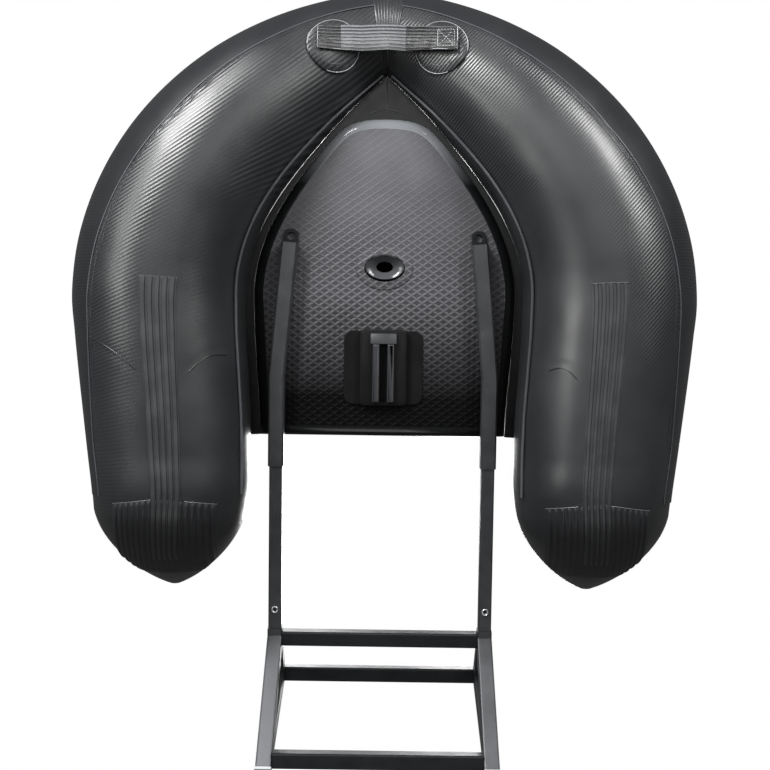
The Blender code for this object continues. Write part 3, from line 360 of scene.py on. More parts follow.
# Painted highlight: pale beads stand for the light caught on raised rubber edges
paleBeadHighlightPvc = makePlastic("weldedRimPvc", "#4e4f52", 0.17, 0.00003)
paintedFloorRim = makeRim("polishedFloorRim", "#0f1011", "#6a6c6f", 0.17, 0.36, 0.44)
glossPvc = makePlastic("glossyPvcSheet", "#3a3b3d", 0.14, 0.00004)
tapePvc = makePlastic("ribbedPvcTape", "#1d1e20", 0.42, 0.00004)
# Lighter than the tubes' fabric, partly a painted highlight on the puckers
puckerHighlightPvc = makePlastic("puckeredPvc", "#26272a", 0.26, 0.00004)
# Painted shade: a darker copy of the handle's webbing, for its end and folded tab
shadedStrapWebbing = makeWebbing("foldedNylonWebbing", "#1b1c1e")
# Near black, darker than the tubes: partly painted shade for the web in its shaded junction, painted shade for
# the fold lines
webAndFoldShadePvc = makePlastic("smoothPvcWeb", "#0f1011", 0.34, 0.00003)
finPlastic = makePlastic("mouldedFinRail", "#2a2b2d", 0.40, 0.00008, 0.25)
# The fin base and patch are near black with little specular: partly painted shade, matching the floor's
# darkened front edge
finBasePlastic = makePlastic("mouldedFinBase", "#0d0d0e", 0.5, 0.00008, 0.12)
finRubber = makeRubber("mouldedFinPatch", "#0a0a0b", 0.6, 0.12)
# Painted shade: a darker copy of the same metal, for the rail ends by the floor's slots
shadedTongueMetal = makeCoatedMetal("cutRailEnd", "#2b2c2e", 0.42, "across")
# Painted highlight: a lighter copy of the same webbing, for the strap's middle
litStrapWebbing = makeWebbing("nylonWebbing", "#57595c")
seatCloth = makeWeave("wovenPolyester", "#33353a", 0.0016)
pipingCloth = makeWeave("wovenPiping", "#1b1c1e", 0.0012)
stitchThread = makePlastic("spunThread", "#b9bbbd", 0.6)
print("materials made:", len(bpy.data.materials))


# Ways to make a piece
def placed(name, data):
    item = bpy.data.objects.new(name, data)
    bpy.context.scene.collection.objects.link(item)
    return item


def evaluated(item):
    return item.evaluated_get(bpy.context.evaluated_depsgraph_get())


def finishPiece(name, mesh, material, body, replaced=(), angle=35):
    data = bpy.data.meshes.new(name)
    mesh.to_mesh(data)
    mesh.free()
    for item in (material if isinstance(material, (list, tuple)) else [material]):
        data.materials.append(item)
    data.shade_smooth()
    data.set_sharp_from_angle(angle=math.radians(angle))
    piece = placed(name, data)
    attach(piece, body)
    if replaced:
        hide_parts(*replaced)
    return piece


def laidGrid(points, uvs=None, closed=False):
    # A grid from the operator, laid on rows of points; uvs are metres along the two ways
    rows, columns = points.shape[:2]
    mesh = bmesh.new()
    bmesh.ops.create_grid(mesh, x_segments=columns - 1, y_segments=rows - 1, size=0.5)
    layer = mesh.loops.layers.uv.new("laid")
    spots = {v: (round((v.co.y + 0.5) * (rows - 1)), round((v.co.x + 0.5) * (columns - 1)))
             for v in mesh.verts}
    if uvs is not None:
        for face in mesh.faces:
            for loop in face.loops:
                loop[layer].uv = uvs[spots[loop.vert]]
    for vert, spot in spots.items():
        vert.co = Vector(points[spot])
    if closed:
        bmesh.ops.remove_doubles(mesh, verts=mesh.verts, dist=0.00002)
    return mesh


def laidUvs(across, along):
    return np.stack(np.broadcast_arrays(across, along), axis=-1)


def thicken(mesh, thickness):
    bmesh.ops.recalc_face_normals(mesh, faces=mesh.faces)
    bmesh.ops.solidify(mesh, geom=mesh.faces, thickness=thickness)
    bmesh.ops.recalc_face_normals(mesh, faces=mesh.faces)
    return mesh


def hangUnder(mesh, thickness):
    # Thickens a sheet whose underside shows; its wall grows upwards
    bmesh.ops.reverse_faces(mesh, faces=[face for face in mesh.faces if face.normal.z > 0])
    bmesh.ops.solidify(mesh, geom=mesh.faces, thickness=thickness)
    bmesh.ops.recalc_face_normals(mesh, faces=mesh.faces)
    return mesh


def ropeAlong(name, points, radius, material, body="hull", cyclic=False):
    # A round bead along points, made as a curve and turned into a mesh
    curve = bpy.data.curves.new(name, "CURVE")
    curve.dimensions = "3D"
    curve.bevel_depth, curve.bevel_resolution, curve.use_fill_caps = radius, 3, True
    line = curve.splines.new("POLY")
    line.points.add(len(points) - 1)
    for spot, point in zip(line.points, points):
        spot.co = (*point, 1.0)
    line.use_cyclic_u = cyclic
    holder = placed(name + "Curve", curve)
    bpy.context.view_layer.update()
    data = bpy.data.meshes.new_from_object(evaluated(holder))
    bpy.data.objects.remove(holder)
    mesh = bmesh.new()
    mesh.from_mesh(data)
    bmesh.ops.recalc_face_normals(mesh, faces=mesh.faces)
    return finishPiece(name, mesh, material, body, (), 60)


def merged(node):
    # The frame's node as one joined mesh
    mesh = bmesh.new()
    mesh.from_mesh(nodes[node].data)
    bmesh.ops.remove_doubles(mesh, verts=mesh.verts, dist=0.00001)
    return mesh


def treeOf(piece):
    data = piece.data
    return BVHTree.FromPolygons([v.co for v in data.vertices], [p.vertices for p in data.polygons])


# The tubes' round sections, read from the frame's own rings
def readSections(node, isFirst, hub):
    # Centre, way outwards and radius of each ring of points, from the ring picked by isFirst
    mesh = merged(node)
    level = {v for v in mesh.verts if isFirst(v.co)}
    seen, found = set(level), []
    while level:
        co = np.array([v.co for v in level])
        centre = co.mean(0)
        flat = co[np.argsort(abs(co[:, 2] - centre[2]))[:2]] - centre  # the two points at mid height
        away = flat[0] if np.dot(flat[0][:2], centre[:2] - hub) > 0 else -flat[0]
        away[2] = 0.0
        radius = np.linalg.norm(away)
        found.append((centre, away / radius, radius))
        level = {edge.other_vert(v) for v in level for edge in v.link_edges} - seen
        seen |= level
    mesh.free()
    return found


hub = np.array(((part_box("floor")[0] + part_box("floor")[1]) / 2)[:2])
sections = {}
for word in sides:
    seam = min(abs(v.co.x) for v in nodes["tube_" + word].data.vertices) + 0.0001
    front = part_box("nose_cone_" + word)[1].y - 0.0001
    found = readSections("tube_" + word, lambda co: abs(co.x) < seam, hub)
    cone = readSections("nose_cone_" + word, lambda co: co.y > front, hub)
    found += cone[1:]
    centres = np.array([f[0] for f in found])
    steps = np.linalg.norm(np.diff(centres, axis=0), axis=1)
    sections[word] = {"at": np.concatenate([[0.0], np.cumsum(steps)]), "centre": centres,
                      "away": np.array([f[1] for f in found]), "radius": np.array([f[2] for f in found])}
    sections[word]["legEnd"] = sections[word]["at"][len(found) - len(cone)]
tubeLength = sections["left"]["legEnd"]
wholeLength = sections["left"]["at"][-1]
print("tube length %.3f, with its nose %.3f" % (tubeLength, wholeLength))


def curved(word, key, along):
    # Smooth value of a section's number at distances along the tube
    at, values = sections[word]["at"], sections[word][key]
    index = np.clip(np.searchsorted(at, along, side="right") - 1, 0, len(at) - 2)
    gap = at[index + 1] - at[index]
    share = (along - at[index]) / gap
    slopes = np.gradient(values, at, axis=0)
    if values.ndim == 2:
        share, gap = share[:, None], gap[:, None]
    start, end = values[index], values[index + 1]
    startSlope, endSlope = slopes[index] * gap, slopes[index + 1] * gap
    square, cube = share ** 2, share ** 3
    return (start * (2 * cube - 3 * square + 1) + startSlope * (cube - 2 * square + share)
            + end * (3 * square - 2 * cube) + endSlope * (cube - square))


def onTube(word, along, angle, lift=0.0):
    # Points on a tube: along in metres from the stern seam, angle 0 outer side, 90 top, 270 underside
    along = np.clip(np.asarray(along, float), 0.0, wholeLength)
    shape = np.broadcast(along, angle, lift).shape
    along, angle, lift = (np.broadcast_to(np.asarray(a, float), shape).ravel() for a in (along, angle, lift))
    centre, away, radius = (curved(word, key, along) for key in ("centre", "away", "radius"))
    away = away / np.linalg.norm(away, axis=1)[:, None]
    reach = (radius + lift)[:, None]
    turn = np.radians(angle)[:, None]
    points = centre + away * reach * np.cos(turn) + np.array([0, 0, 1.0]) * reach * np.sin(turn)
    return points.reshape(*shape, 3)


def radiusAt(word, along):
    along = np.asarray(along, float)
    return curved(word, "radius", along.ravel()).reshape(along.shape)


def middleX(word, along):
    # How far out the tube's middle lies, in plan
    along = np.asarray(along, float)
    return abs(curved(word, "centre", along.ravel())[:, 0]).reshape(along.shape)


# Air tubes with their nose cones: one welded skin a side, with the sag and creases of real fabric
hullSkin = {"step": 0.0060, "around": 160, "noseRows": 40, "usualRadius": 0.16,
            "ripple": 0.0007, "rippleSize": 0.075, "most": 0.0004,
            "crease": 0.0009, "creaseWidth": 0.0060, "creaseBend": 0.012, "flatBelow": 0.02, "calmToSeam": 0.05}
# Creases across the legs as the photograph shows them: start and end in plan
creases = {"right": (((0.565, 0.052), (0.435, -0.002)), ((0.345, 0.004), (0.285, 0.042))),
           "left": (((-0.300, 0.020), (-0.345, 0.000)),)}


def creaseDepth(word, x, y):
    total = np.zeros_like(x)
    for (x0, y0), (x1, y1) in creases[word]:
        way = np.array([x1 - x0, y1 - y0])
        length = np.linalg.norm(way)
        way = way / length
        share = np.clip(((x - x0) * way[0] + (y - y0) * way[1]) / length, 0, 1)
        bend = hullSkin["creaseBend"] * np.sin(math.pi * share)
        gap = np.hypot(x - x0 - way[0] * share * length, y - y0 - way[1] * share * length - bend)
        fade = np.sin(math.pi * np.clip(share, 0.08, 0.92)) ** 0.5
        total += fade * (np.exp(-(gap / hullSkin["creaseWidth"]) ** 2)
                         - 0.35 * np.exp(-(gap / (3 * hullSkin["creaseWidth"])) ** 2))
    return total * hullSkin["crease"]


for word in sides:
    alongs = np.linspace(0.0, tubeLength, round(tubeLength / hullSkin["step"]))
    coneRings = sections[word]["at"][sections[word]["at"] > tubeLength + 0.001]
    coneShares = np.linspace(0, 1, hullSkin["noseRows"])
    alongs = np.concatenate([alongs, np.interp(coneShares, np.linspace(0, 1, len(coneRings)), coneRings)])
    angles = np.linspace(0, 360, hullSkin["around"] + 1)
    grid = onTube(word, alongs[:, None], angles[None, :])
    size = hullSkin["rippleSize"]
    ripple = np.array([[noise.noise(Vector(p) / size) for p in row] for row in grid]) * hullSkin["ripple"]
    below = grid[..., 2] < curved(word, "centre", alongs)[:, None, 2]
    ripple -= np.where(below, creaseDepth(word, grid[..., 0], grid[..., 1]), 0.0)
    fade = np.minimum(1.0, alongs / hullSkin["calmToSeam"])[:, None]
    fade = fade * np.clip(grid[..., 2] / hullSkin["flatBelow"], 0, 1)  # flat where the strips lie
    grid = onTube(word, alongs[:, None], angles[None, :], np.minimum(ripple * fade, hullSkin["most"]))
    uvs = laidUvs(np.radians(angles)[None, :] * hullSkin["usualRadius"], alongs[:, None])
    mesh = laidGrid(grid, uvs, closed=True)
    bmesh.ops.holes_fill(mesh, edges=[e for e in mesh.edges if e.is_boundary])
    bmesh.ops.recalc_face_normals(mesh, faces=mesh.faces)
    replaced = ("tube_" + word, "nose_cone_" + word)
    finishPiece("airTube_" + word, mesh, pvcFabric, "hull", replaced, 50)
print("air tubes laid")


# Side bands: a second panel welded round the outer side, wide at the stern and narrow on the legs
sideBand = {"sternAngle": 60, "legAngle": 37, "from": 0.42, "to": 0.98, "lift": 0.0011, "thickness": 0.0010,
            "columns": 28, "bead": 0.0015, "beadOut": 0.35, "puckers": 3, "puckered": (0.12, 0.98),
            "puckerSize": 0.0012}
for word, side in sides.items():
    alongs = np.arange(0.020, tubeLength + 0.012, 0.010)
    share = np.clip((alongs - sideBand["from"]) / (sideBand["to"] - sideBand["from"]), 0, 1)
    half = sideBand["sternAngle"] + (sideBand["legAngle"] - sideBand["sternAngle"]) * share
    angles = -half[:, None] + 2 * half[:, None] * np.linspace(0, 1, sideBand["columns"])[None, :]
    points = onTube(word, alongs[:, None], angles, sideBand["lift"])
    uvs = laidUvs(np.radians(angles) * radiusAt(word, alongs)[:, None], alongs[:, None])
    mesh = thicken(laidGrid(points, uvs), sideBand["thickness"])
    finishPiece("sideBand_" + word, mesh, pvcBand, "hull", (), 40)
    inside = (alongs > sideBand["puckered"][0]) & (alongs < sideBand["puckered"][1])
    for row in range(sideBand["puckers"]):  # the fabric puckers beside the lower seam; their beads are coloured lighter, partly a painted highlight
        wander = np.array([noise.noise(Vector((a * 9, row * 3.7, side))) for a in alongs[inside]])
        angle = -(half[inside] + 1.6 + 1.5 * row + 2.2 * wander)
        ropeAlong("bandPucker%d_%s" % (row, word), onTube(word, alongs[inside], angle, -0.0004),
                  sideBand["puckerSize"], puckerHighlightPvc)
    # The weld beads take the lightened welt PVC, partly a painted highlight
    for name, sign in (("low", -1), ("high", 1)):
        edge = onTube(word, alongs, sign * (half + sideBand["beadOut"]), sideBand["bead"] * 0.6)
        ropeAlong("bandWeld_%s_%s" % (name, word), edge, sideBand["bead"], lightenedWeltPvc)

# Tape over the stern seam, from the inner apex round the outside to the top
sternTape = {"reach": 0.021, "from": 212, "to": 505, "lift": 0.0013, "thickness": 0.0011, "ridges": 9,
             "ridge": 0.0004, "rows": 110, "columns": 37}
angles = np.linspace(sternTape["from"], sternTape["to"], sternTape["rows"])
across = np.linspace(-1, 1, sternTape["columns"])
rows = []
for share in across:
    word = "left" if share < 0 else "right"
    lift = sternTape["lift"] + sternTape["ridge"] * math.cos(share * math.pi * sternTape["ridges"])
    rows.append(onTube(word, abs(share) * sternTape["reach"], angles, lift))
grid = np.stack(rows, axis=1)
uvs = laidUvs(across[None, :] * sternTape["reach"], np.radians(angles)[:, None] * 0.08)
mesh = thicken(laidGrid(grid, uvs), sternTape["thickness"])
finishPiece("sternTape", mesh, tapePvc, "hull", (), 40)
print("bands and tape laid")


def refined(node, material, angle=38, bevel=0.0, segments=2, limit=30):
    # A merged copy of the frame's node with soft edges
    mesh = merged(node)
    bmesh.ops.dissolve_limit(mesh, angle_limit=math.radians(0.6), verts=mesh.verts, edges=mesh.edges)
    piece = finishPiece(node + "Skin", mesh, material, nodes[node]["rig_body"], (node,), angle)
    if bevel:
        rounding = piece.modifiers.new("softEdges", "BEVEL")
        rounding.width, rounding.segments, rounding.angle_limit = bevel, segments, math.radians(limit)
        rounding.limit_method, rounding.harden_normals = "ANGLE", True
    return piece


def dress(node, material):
    data = nodes[node].data
    if not data.materials:
        data.materials.append(material)
    for index in range(len(data.materials)):
        data.materials[index] = material


def undersides(tree, places):
    # Where rays from below meet a piece, one for each x and y; missing ones are None
    return [tree.ray_cast(Vector((x, y, -0.5)), Vector((0, 0, 1)))[0] for x, y in places]


def stitchRow(name, points, body, length=0.0042, gap=0.0016, radius=0.0006):
    # Single stitches along points, in one mesh
    points = [Vector(p) for p in points]
    steps = [0.0]
    for a, b in zip(points, points[1:]):
        steps.append(steps[-1] + (b - a).length)
    mesh = bmesh.new()
    at = gap
    while at + length < steps[-1]:
        ends = []
        for spot in (at, at + length):
            k = max(i for i in range(len(steps) - 1) if steps[i] <= spot)
            ends.append(points[k].lerp(points[k + 1], (spot - steps[k]) / (steps[k + 1] - steps[k])))
        way = ends[1] - ends[0]
        turn = way.to_track_quat("Z", "Y").to_matrix().to_4x4()
        place = Matrix.Translation((ends[0] + ends[1]) / 2) @ turn
        bmesh.ops.create_uvsphere(mesh, u_segments=8, v_segments=5, radius=radius,
                                  matrix=place @ Matrix.Diagonal((1, 1, way.length / radius / 2, 1)))
        at += length + gap
    return finishPiece(name, mesh, stitchThread, body)


# Welts along the inner edges, in a PVC lighter than the tubes': partly a painted highlight
for word in sides:
    refined("welt_" + word, lightenedWeltPvc, 60)


# Keel strips and nose patches: moulded rubber ribs, parallel in plan, laid on the tubes
def tubePlace(word, points):
    # Where points lie on a tube: distance along it and offset outwards from its middle, in plan
    dense = np.linspace(0, wholeLength, 1500)
    middle, away = curved(word, "centre", dense), curved(word, "away", dense)
    spot = np.argmin(((points[:, None, :2] - middle[None, :, :2]) ** 2).sum(2), axis=1)
    return dense[spot], ((points - middle[spot])[:, :2] * away[spot][:, :2]).sum(1)


def planAngle(word, alongs, offsets, lifts=0.0):
    # The angle on a tube's underside that lies at an offset in plan from its middle
    share = np.clip(offsets / (radiusAt(word, alongs) + lifts), -0.985, 0.985)
    return -np.degrees(np.arccos(share))


def layPlan(name, word, alongs, offsets, lifts, material, replaced):
    # A skin under a tube at offsets in plan from its middle, with its own lift at every point
    points = onTube(word, alongs, planAngle(word, alongs, offsets, lifts), lifts)
    mesh = laidGrid(points, np.stack(np.broadcast_arrays(offsets, alongs), axis=-1))
    finishPiece(name, hangUnder(mesh, 0.0012), material, "hull", replaced, 32)
    return points


def ribbed(across, ribs, sharp):
    # Height share of flat-topped ribs over shares 0 to 1 of a width
    return np.clip(0.5 - sharp * np.cos(2 * math.pi * ribs * across), 0, 1)


# Folds: a thin near-black bead along each crease, a painted shade in its fold
foldShadeLine = {"points": 30, "size": 0.0013, "lift": -0.0004}
for word in sides:
    for index, ((x0, y0), (x1, y1)) in enumerate(creases[word]):
        share = np.linspace(0, 1, foldShadeLine["points"])
        bend = hullSkin["creaseBend"] * np.sin(math.pi * share)
        spots = np.stack([x0 + (x1 - x0) * share, y0 + (y1 - y0) * share + bend, 0 * share], axis=-1)
        places, offsets = tubePlace(word, spots)
        line = onTube(word, places, planAngle(word, places, offsets), foldShadeLine["lift"])
        ropeAlong("foldLine%d_%s" % (index, word), line, foldShadeLine["size"], webAndFoldShadePvc)

# Keel strips: a start bead, then ribs that narrow towards the nose and run over it straight in plan
keel = {"width": 0.064, "narrow": 0.20, "ribs": 5, "base": 0.0003, "rib": 0.0023, "sharp": 1.8,
        "columns": 101, "step": 0.006, "noseEnd": 0.136, "noseNarrow": 0.08, "splay": 0.017, "ease": 0.011,
        "overPatch": 0.0006, "bead": 0.0008}
keelTip = {}
for word in sides:
    along, offset = tubePlace(word, np.array([v.co for v in nodes["keel_strip_" + word].data.vertices]))
    start = along.min()
    bins = np.linspace(start, tubeLength, 12)
    low = [offset[abs(along - b) < 0.06].min() for b in bins]
    high = [offset[abs(along - b) < 0.06].max() for b in bins]
    middle = np.polyfit(bins, (np.array(low) + np.array(high)) / 2, 2)
    alongs = np.arange(start + 0.010, tubeLength + keel["noseEnd"], keel["step"])
    alongs = np.concatenate([[start, start + 0.0015], alongs])
    endX = middleX(word, tubeLength) + np.polyval(middle, tubeLength)
    nose = np.clip((alongs - tubeLength) / keel["noseEnd"], 0, 1)
    progress = np.clip((alongs - start) / (tubeLength - start), 0, 1)
    straight = endX - middleX(word, alongs) + keel["splay"] * nose ** 1.3
    centre = np.where(alongs < tubeLength, np.polyval(middle, alongs), straight) + keel["ease"] * progress
    across = np.linspace(-0.5, 0.5, keel["columns"])
    width = keel["width"] * (1 - keel["narrow"] * progress) * (1 - keel["noseNarrow"] * nose ** 1.5)
    onNose = np.clip((alongs - tubeLength) / 0.012, 0, 1)[:, None]
    lifts = keel["base"] + keel["rib"] * ribbed(across + 0.5, keel["ribs"], keel["sharp"])[None, :]
    lifts = lifts + onNose * keel["overPatch"]
    lifts[0], lifts[-1] = keel["base"], keel["base"]
    offsets = centre[:, None] + width[:, None] * across[None, :]
    layPlan("keelStrip_" + word, word, alongs[:, None], offsets, lifts, ribRubber, ("keel_strip_" + word,))
    # A pale bead across the strip's start paints the highlight on its cut end
    edge = centre[0] + width[0] * np.linspace(-0.5, 0.5, 20)
    edge = onTube(word, start + keel["bead"], planAngle(word, start, edge), 0.0010)
    ropeAlong("keelEnd_" + word, edge, keel["bead"], paleBeadHighlightPvc)
    keelTip[word] = (straight[-1] - keel["width"] / 2, endX - middleX(word, alongs[-1]) + keel["width"] / 2)

# Nose patches: their ribs keep their place in plan while the nose narrows under them
noseSkin = {"ribs": 17, "base": 0.0006, "rib": 0.0022, "sharp": 0.9, "columns": 171, "rows": 60,
            "gap": 0.002, "chevron": 0.013, "end": 0.172, "splay": 0.02125, "reach": 0.97, "bead": 0.0009}
for word in sides:
    offset = tubePlace(word, np.array([v.co for v in nodes["nose_patch_" + word].data.vertices]))[1]
    half = (offset.max() - offset.min()) / 2
    patchX = middleX(word, tubeLength) + (offset.max() + offset.min()) / 2
    across = np.linspace(-1, 1, noseSkin["columns"])
    share = np.linspace(0, 1, noseSkin["rows"])[:, None]
    begin = tubeLength + noseSkin["gap"] + noseSkin["chevron"] * abs(across)[None, :]
    alongs = begin + (tubeLength + noseSkin["end"] - begin) * share
    reach = noseSkin["reach"] * radiusAt(word, alongs)
    centre = patchX - middleX(word, alongs) + noseSkin["splay"] * share ** 1.3
    low, high = np.maximum(centre - half, -reach), np.minimum(centre + half, reach)
    offsets = low + (high - low) * (across[None, :] + 1) / 2
    plain = np.clip((offsets - centre) / half * 0.5 + 0.5, 0, 1)
    fade = np.clip(np.minimum(share, 1 - share) / 0.04, 0, 1)
    lifts = noseSkin["base"] + noseSkin["rib"] * ribbed(plain, noseSkin["ribs"], noseSkin["sharp"]) * fade
    replaced = ("nose_patch_" + word,)
    edge = layPlan("nosePatch_" + word, word, alongs, offsets, lifts, darkRubber, replaced)[0]
    rims = {"In": edge[offsets[0] < keelTip[word][0]], "Out": edge[offsets[0] > keelTip[word][1]]}
    for name, rim in rims.items():  # a pale bead paints the highlight on the patch's upper edge beside the keel strip
        ropeAlong("noseRim%s_%s" % (name, word), rim, noseSkin["bead"], paleBeadHighlightPvc)
print("keel strips and nose patches laid")

# Floor: thick embossed mattress with a rounded lower edge; its drain sleeve and welded web
mattress = refined("floor", floorSheet, 60)
mattress.data.materials.append(paintedFloorRim)
for face in mattress.data.polygons:  # the rounded edge is a smooth welded rim, painted pale round the tip as a highlight and dark along the sides as shade
    if abs(face.normal.dot(deckUp)) < 0.985:
        face.material_index = 1
# The web between floor and tubes is near black, partly painted shade in their junction
refined("floor_web", webAndFoldShadePvc, 50)
refined("drain_sleeve", floorSheet, 50, 0.0008)

# Gusset behind the floor's tip: its centre seam and cross seam; their beads are coloured lighter, partly a
# painted highlight
gusset = {"bead": 0.0013, "sunk": 0.0004,
          "seams": {"Centre": [(0.0, y) for y in np.linspace(0.505, 0.560, 14)],
                    "Cross": [(x, 0.506 - 1.1 * abs(x) ** 1.4) for x in np.linspace(-0.034, 0.034, 15)]}}
webTree = treeOf(nodes["floor_web"])
for name, line in gusset["seams"].items():
    spots = [p for p in undersides(webTree, line) if p]
    if len(spots) > 3:
        seam = [p - Vector((0, 0, gusset["sunk"])) for p in spots]
        ropeAlong("gussetSeam" + name, seam, gusset["bead"], lightenedWeltPvc)

# Dished throat of the drain: glossy sheet pulled inwards, with its mouth on the sloping floor
drain = {"sides": 64, "rows": 12, "deep": 0.013, "narrow": 0.45, "across": 0.0375, "along": 0.0245,
         "lip": 0.003, "thickness": 0.0012, "wrinkles": 9, "wrinkle": 0.012}
low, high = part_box("drain_sleeve")
middle = (low + high) / 2
slope = deckUp.y / deckUp.z
mouth = undersides(treeOf(nodes["floor"]), [(middle.x, low.y - 0.02)])[0]
bottom = mouth.z - (middle.y - mouth.y) * slope
turn = np.linspace(0, 2 * math.pi, drain["sides"] + 1)
rows = []
for share in np.linspace(0, 1, drain["rows"]):
    size = 1 - (1 - drain["narrow"]) * share ** 0.7
    wrinkle = 1 + drain["wrinkle"] * np.sin(drain["wrinkles"] * turn) * share
    x = middle.x + drain["across"] * size * wrinkle * np.cos(turn)
    y = middle.y + drain["along"] * size * wrinkle * np.sin(turn)
    z = bottom + drain["lip"] + drain["deep"] * share - (y - middle.y) * slope
    rows.append(np.stack([x, y, z], axis=-1))
throat = thicken(laidGrid(np.array(rows), closed=True), drain["thickness"])
finishPiece("drainThroat", throat, glossPvc, "hull", (), 60)

# Fin box on its patch; the base and patch are near black, partly painted shade
refined("fin_patch", finRubber, 30, 0.0010)
refined("fin_base", finBasePlastic, 30, 0.0018, 3)
refined("fin_cap", finPlastic, 30, 0.0020, 3)
for word in sides:
    refined("fin_rail_" + word, finPlastic, 30, 0.0018, 3)


# Screws: a domed head with a hexagon socket
def screwHead(name, point, way, radius, height, body):
    mesh = bmesh.new()
    bmesh.ops.create_cone(mesh, segments=36, radius1=radius, radius2=radius, depth=height, cap_ends=True)
    rim = [e for e in mesh.edges if all(v.co.z > 0 for v in e.verts)]
    bmesh.ops.bevel(mesh, geom=rim, offset=height * 0.45, affect="EDGES", segments=4, profile=0.5,
                    material=-1)
    top = max(mesh.faces, key=lambda f: f.calc_center_median().z)
    bmesh.ops.inset_individual(mesh, faces=[top], thickness=radius * 0.28)
    bmesh.ops.translate(mesh, verts=top.verts, vec=(0, 0, -height * 0.6))
    mesh.transform(Matrix.Translation(point) @ Vector(way).to_track_quat("Z", "Y").to_matrix().to_4x4())
    piece = finishPiece(name, mesh, [boltSteel, blackPlastic], body, (), 30)
    for face in piece.data.polygons:  # the socket is dark
        out = face.center - Vector(point)
        if out.dot(Vector(way)) < -height * 0.02 and out.cross(Vector(way)).length < radius * 0.66:
            face.material_index = 1
    return piece


# Frame rails, footrest and its screws; each screw sits where a ray from below meets its tube
screws = {"railBolt_": ("inner_rail_", -0.458, -deckUp, 0.0008, 0.0070, 0.0036),
          "barScrew_": ("footrest_arm_", -0.603, Vector((0, 0, -1)), 0.0006, 0.0045, 0.0028)}
screwOut = 0.2035
for word, side in sides.items():
    # The rails and footrest take the lighter copy of the metal, painted light; the rail ends the darker copy,
    # painted shade
    for node in ("outer_rail_", "inner_rail_", "footrest_leg_", "footrest_arm_"):
        dress(node + word, litFrameMetal)
    refined("rail_tongue_" + word, shadedTongueMetal, 30, 0.0008)
    refined("foot_cap_" + word, capPlastic, 30, 0.0015, 3)
    for name, (node, y, way, lift, radius, height) in screws.items():
        spot = undersides(treeOf(nodes[node + word]), [(side * screwOut, y)])[0]
        if spot:
            screwHead(name + word, spot + way * lift, way, radius, height, "footrest")
# The crossbars take the darker copy of the frame's metal, a painted shade
for node in ("crossbar_upper", "crossbar_middle", "crossbar_lower"):
    dress(node, shadedBarMetal)
print("frame dressed")

# Stern handle: ribbed webbing, doubled and stitched at its ends, on two round patches
handle = {"ribs": 8, "rib": 0.00055, "thickness": 0.0030, "tab": (-0.127, -0.034), "under": 0.012,
          "margin": 0.0012, "columns": 65, "rows": 70, "end": 0.084, "patchRings": (0.0485, 0.0345)}
strapLow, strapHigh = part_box("stern_handle")
strapTree = treeOf(nodes["stern_handle"])


def strapGrid(fromX, toX, rows, lift, narrow):
    # Points under the frame's strap between two x, with ribs along it
    inset = handle["margin"] + narrow
    across = np.linspace(strapLow.y + inset, strapHigh.y - inset, handle["columns"])
    found = np.zeros((rows, len(across), 3))
    for i, x in enumerate(np.linspace(fromX, toX, rows)):
        line = [p.z if p else None for p in undersides(strapTree, [(x, y) for y in across])]
        good = [k for k, z in enumerate(line) if z is not None]
        found[i, :, 0], found[i, :, 1] = x, across
        found[i, :, 2] = np.interp(range(len(across)), good, [line[k] for k in good])
    share = (found[..., 1] - strapLow.y) / (strapHigh.y - strapLow.y)
    wave = 0.5 - 0.5 * np.cos(2 * math.pi * handle["ribs"] * share)
    found[..., 2] -= lift + handle["rib"] * wave
    return found, np.stack([found[..., 1] - (strapLow.y + strapHigh.y) / 2, found[..., 0]], axis=-1)


def layStrap(name, fromX, toX, rows, lift, thickness, material, replaced=(), narrow=0.0, crumple=0.0):
    points, uvs = strapGrid(fromX, toX, rows, lift, narrow)
    if crumple:  # the folded tab bulges and creases
        rough = np.array([[noise.noise(Vector((p[0] * 38, p[1] * 30 + p[0] * 25, 3.0))) for p in row]
                          for row in points])
        ends = np.clip(np.minimum(np.arange(rows), np.arange(rows)[::-1]) / 5, 0, 1)[:, None]
        points[..., 2] -= crumple * (0.5 + 1.2 * rough) * ends
    mesh = hangUnder(laidGrid(points, uvs), thickness)
    return finishPiece(name, mesh, material, "hull", replaced, 50)


# One webbing in two colours: the strap's middle painted lighter as a highlight, its end and folded tab darker
# as painted shade
tabFrom, tabTo = handle["tab"]
layStrap("handleStrap", tabTo - handle["under"], handle["end"] + 0.002, handle["rows"], 0.0,
         handle["thickness"], litStrapWebbing, ("stern_handle",))
layStrap("handleEnd", handle["end"], strapHigh.x - 0.001, 30, -0.0008, 0.0022, shadedStrapWebbing)
tab = layStrap("handleTab", tabFrom, tabTo, handle["rows"], 0.0014, handle["thickness"], shadedStrapWebbing,
               narrow=0.001, crumple=0.0030)
tabTree = treeOf(tab)


def onStrap(x, y, lift):
    spot = undersides(tabTree if x < tabTo else strapTree, [(x, y)])[0]
    return Vector((x, y, (spot.z if spot else strapLow.z) - lift))


# Box stitches and end seams: name, from x, to x, lift
for name, x0, x1, lift in (("Tab", tabFrom + 0.006, tabFrom + 0.036, 0.0002),
                           ("End", strapHigh.x - 0.040, strapHigh.x - 0.006, 0.0006)):
    y0, y1 = strapLow.y + 0.007, strapHigh.y - 0.007
    corners = [(x0, y0), (x1, y0), (x1, y1), (x0, y1), (x0, y0), (x1, y1), (x1, y0), (x0, y1)]
    path = []
    for (ax, ay), (bx, by) in zip(corners, corners[1:]):
        path += [onStrap(ax + (bx - ax) * t, ay + (by - ay) * t, lift) for t in np.linspace(0, 1, 8)[:-1]]
    stitchRow("boxStitch" + name, path, "hull", 0.0036, 0.0020, 0.0004)
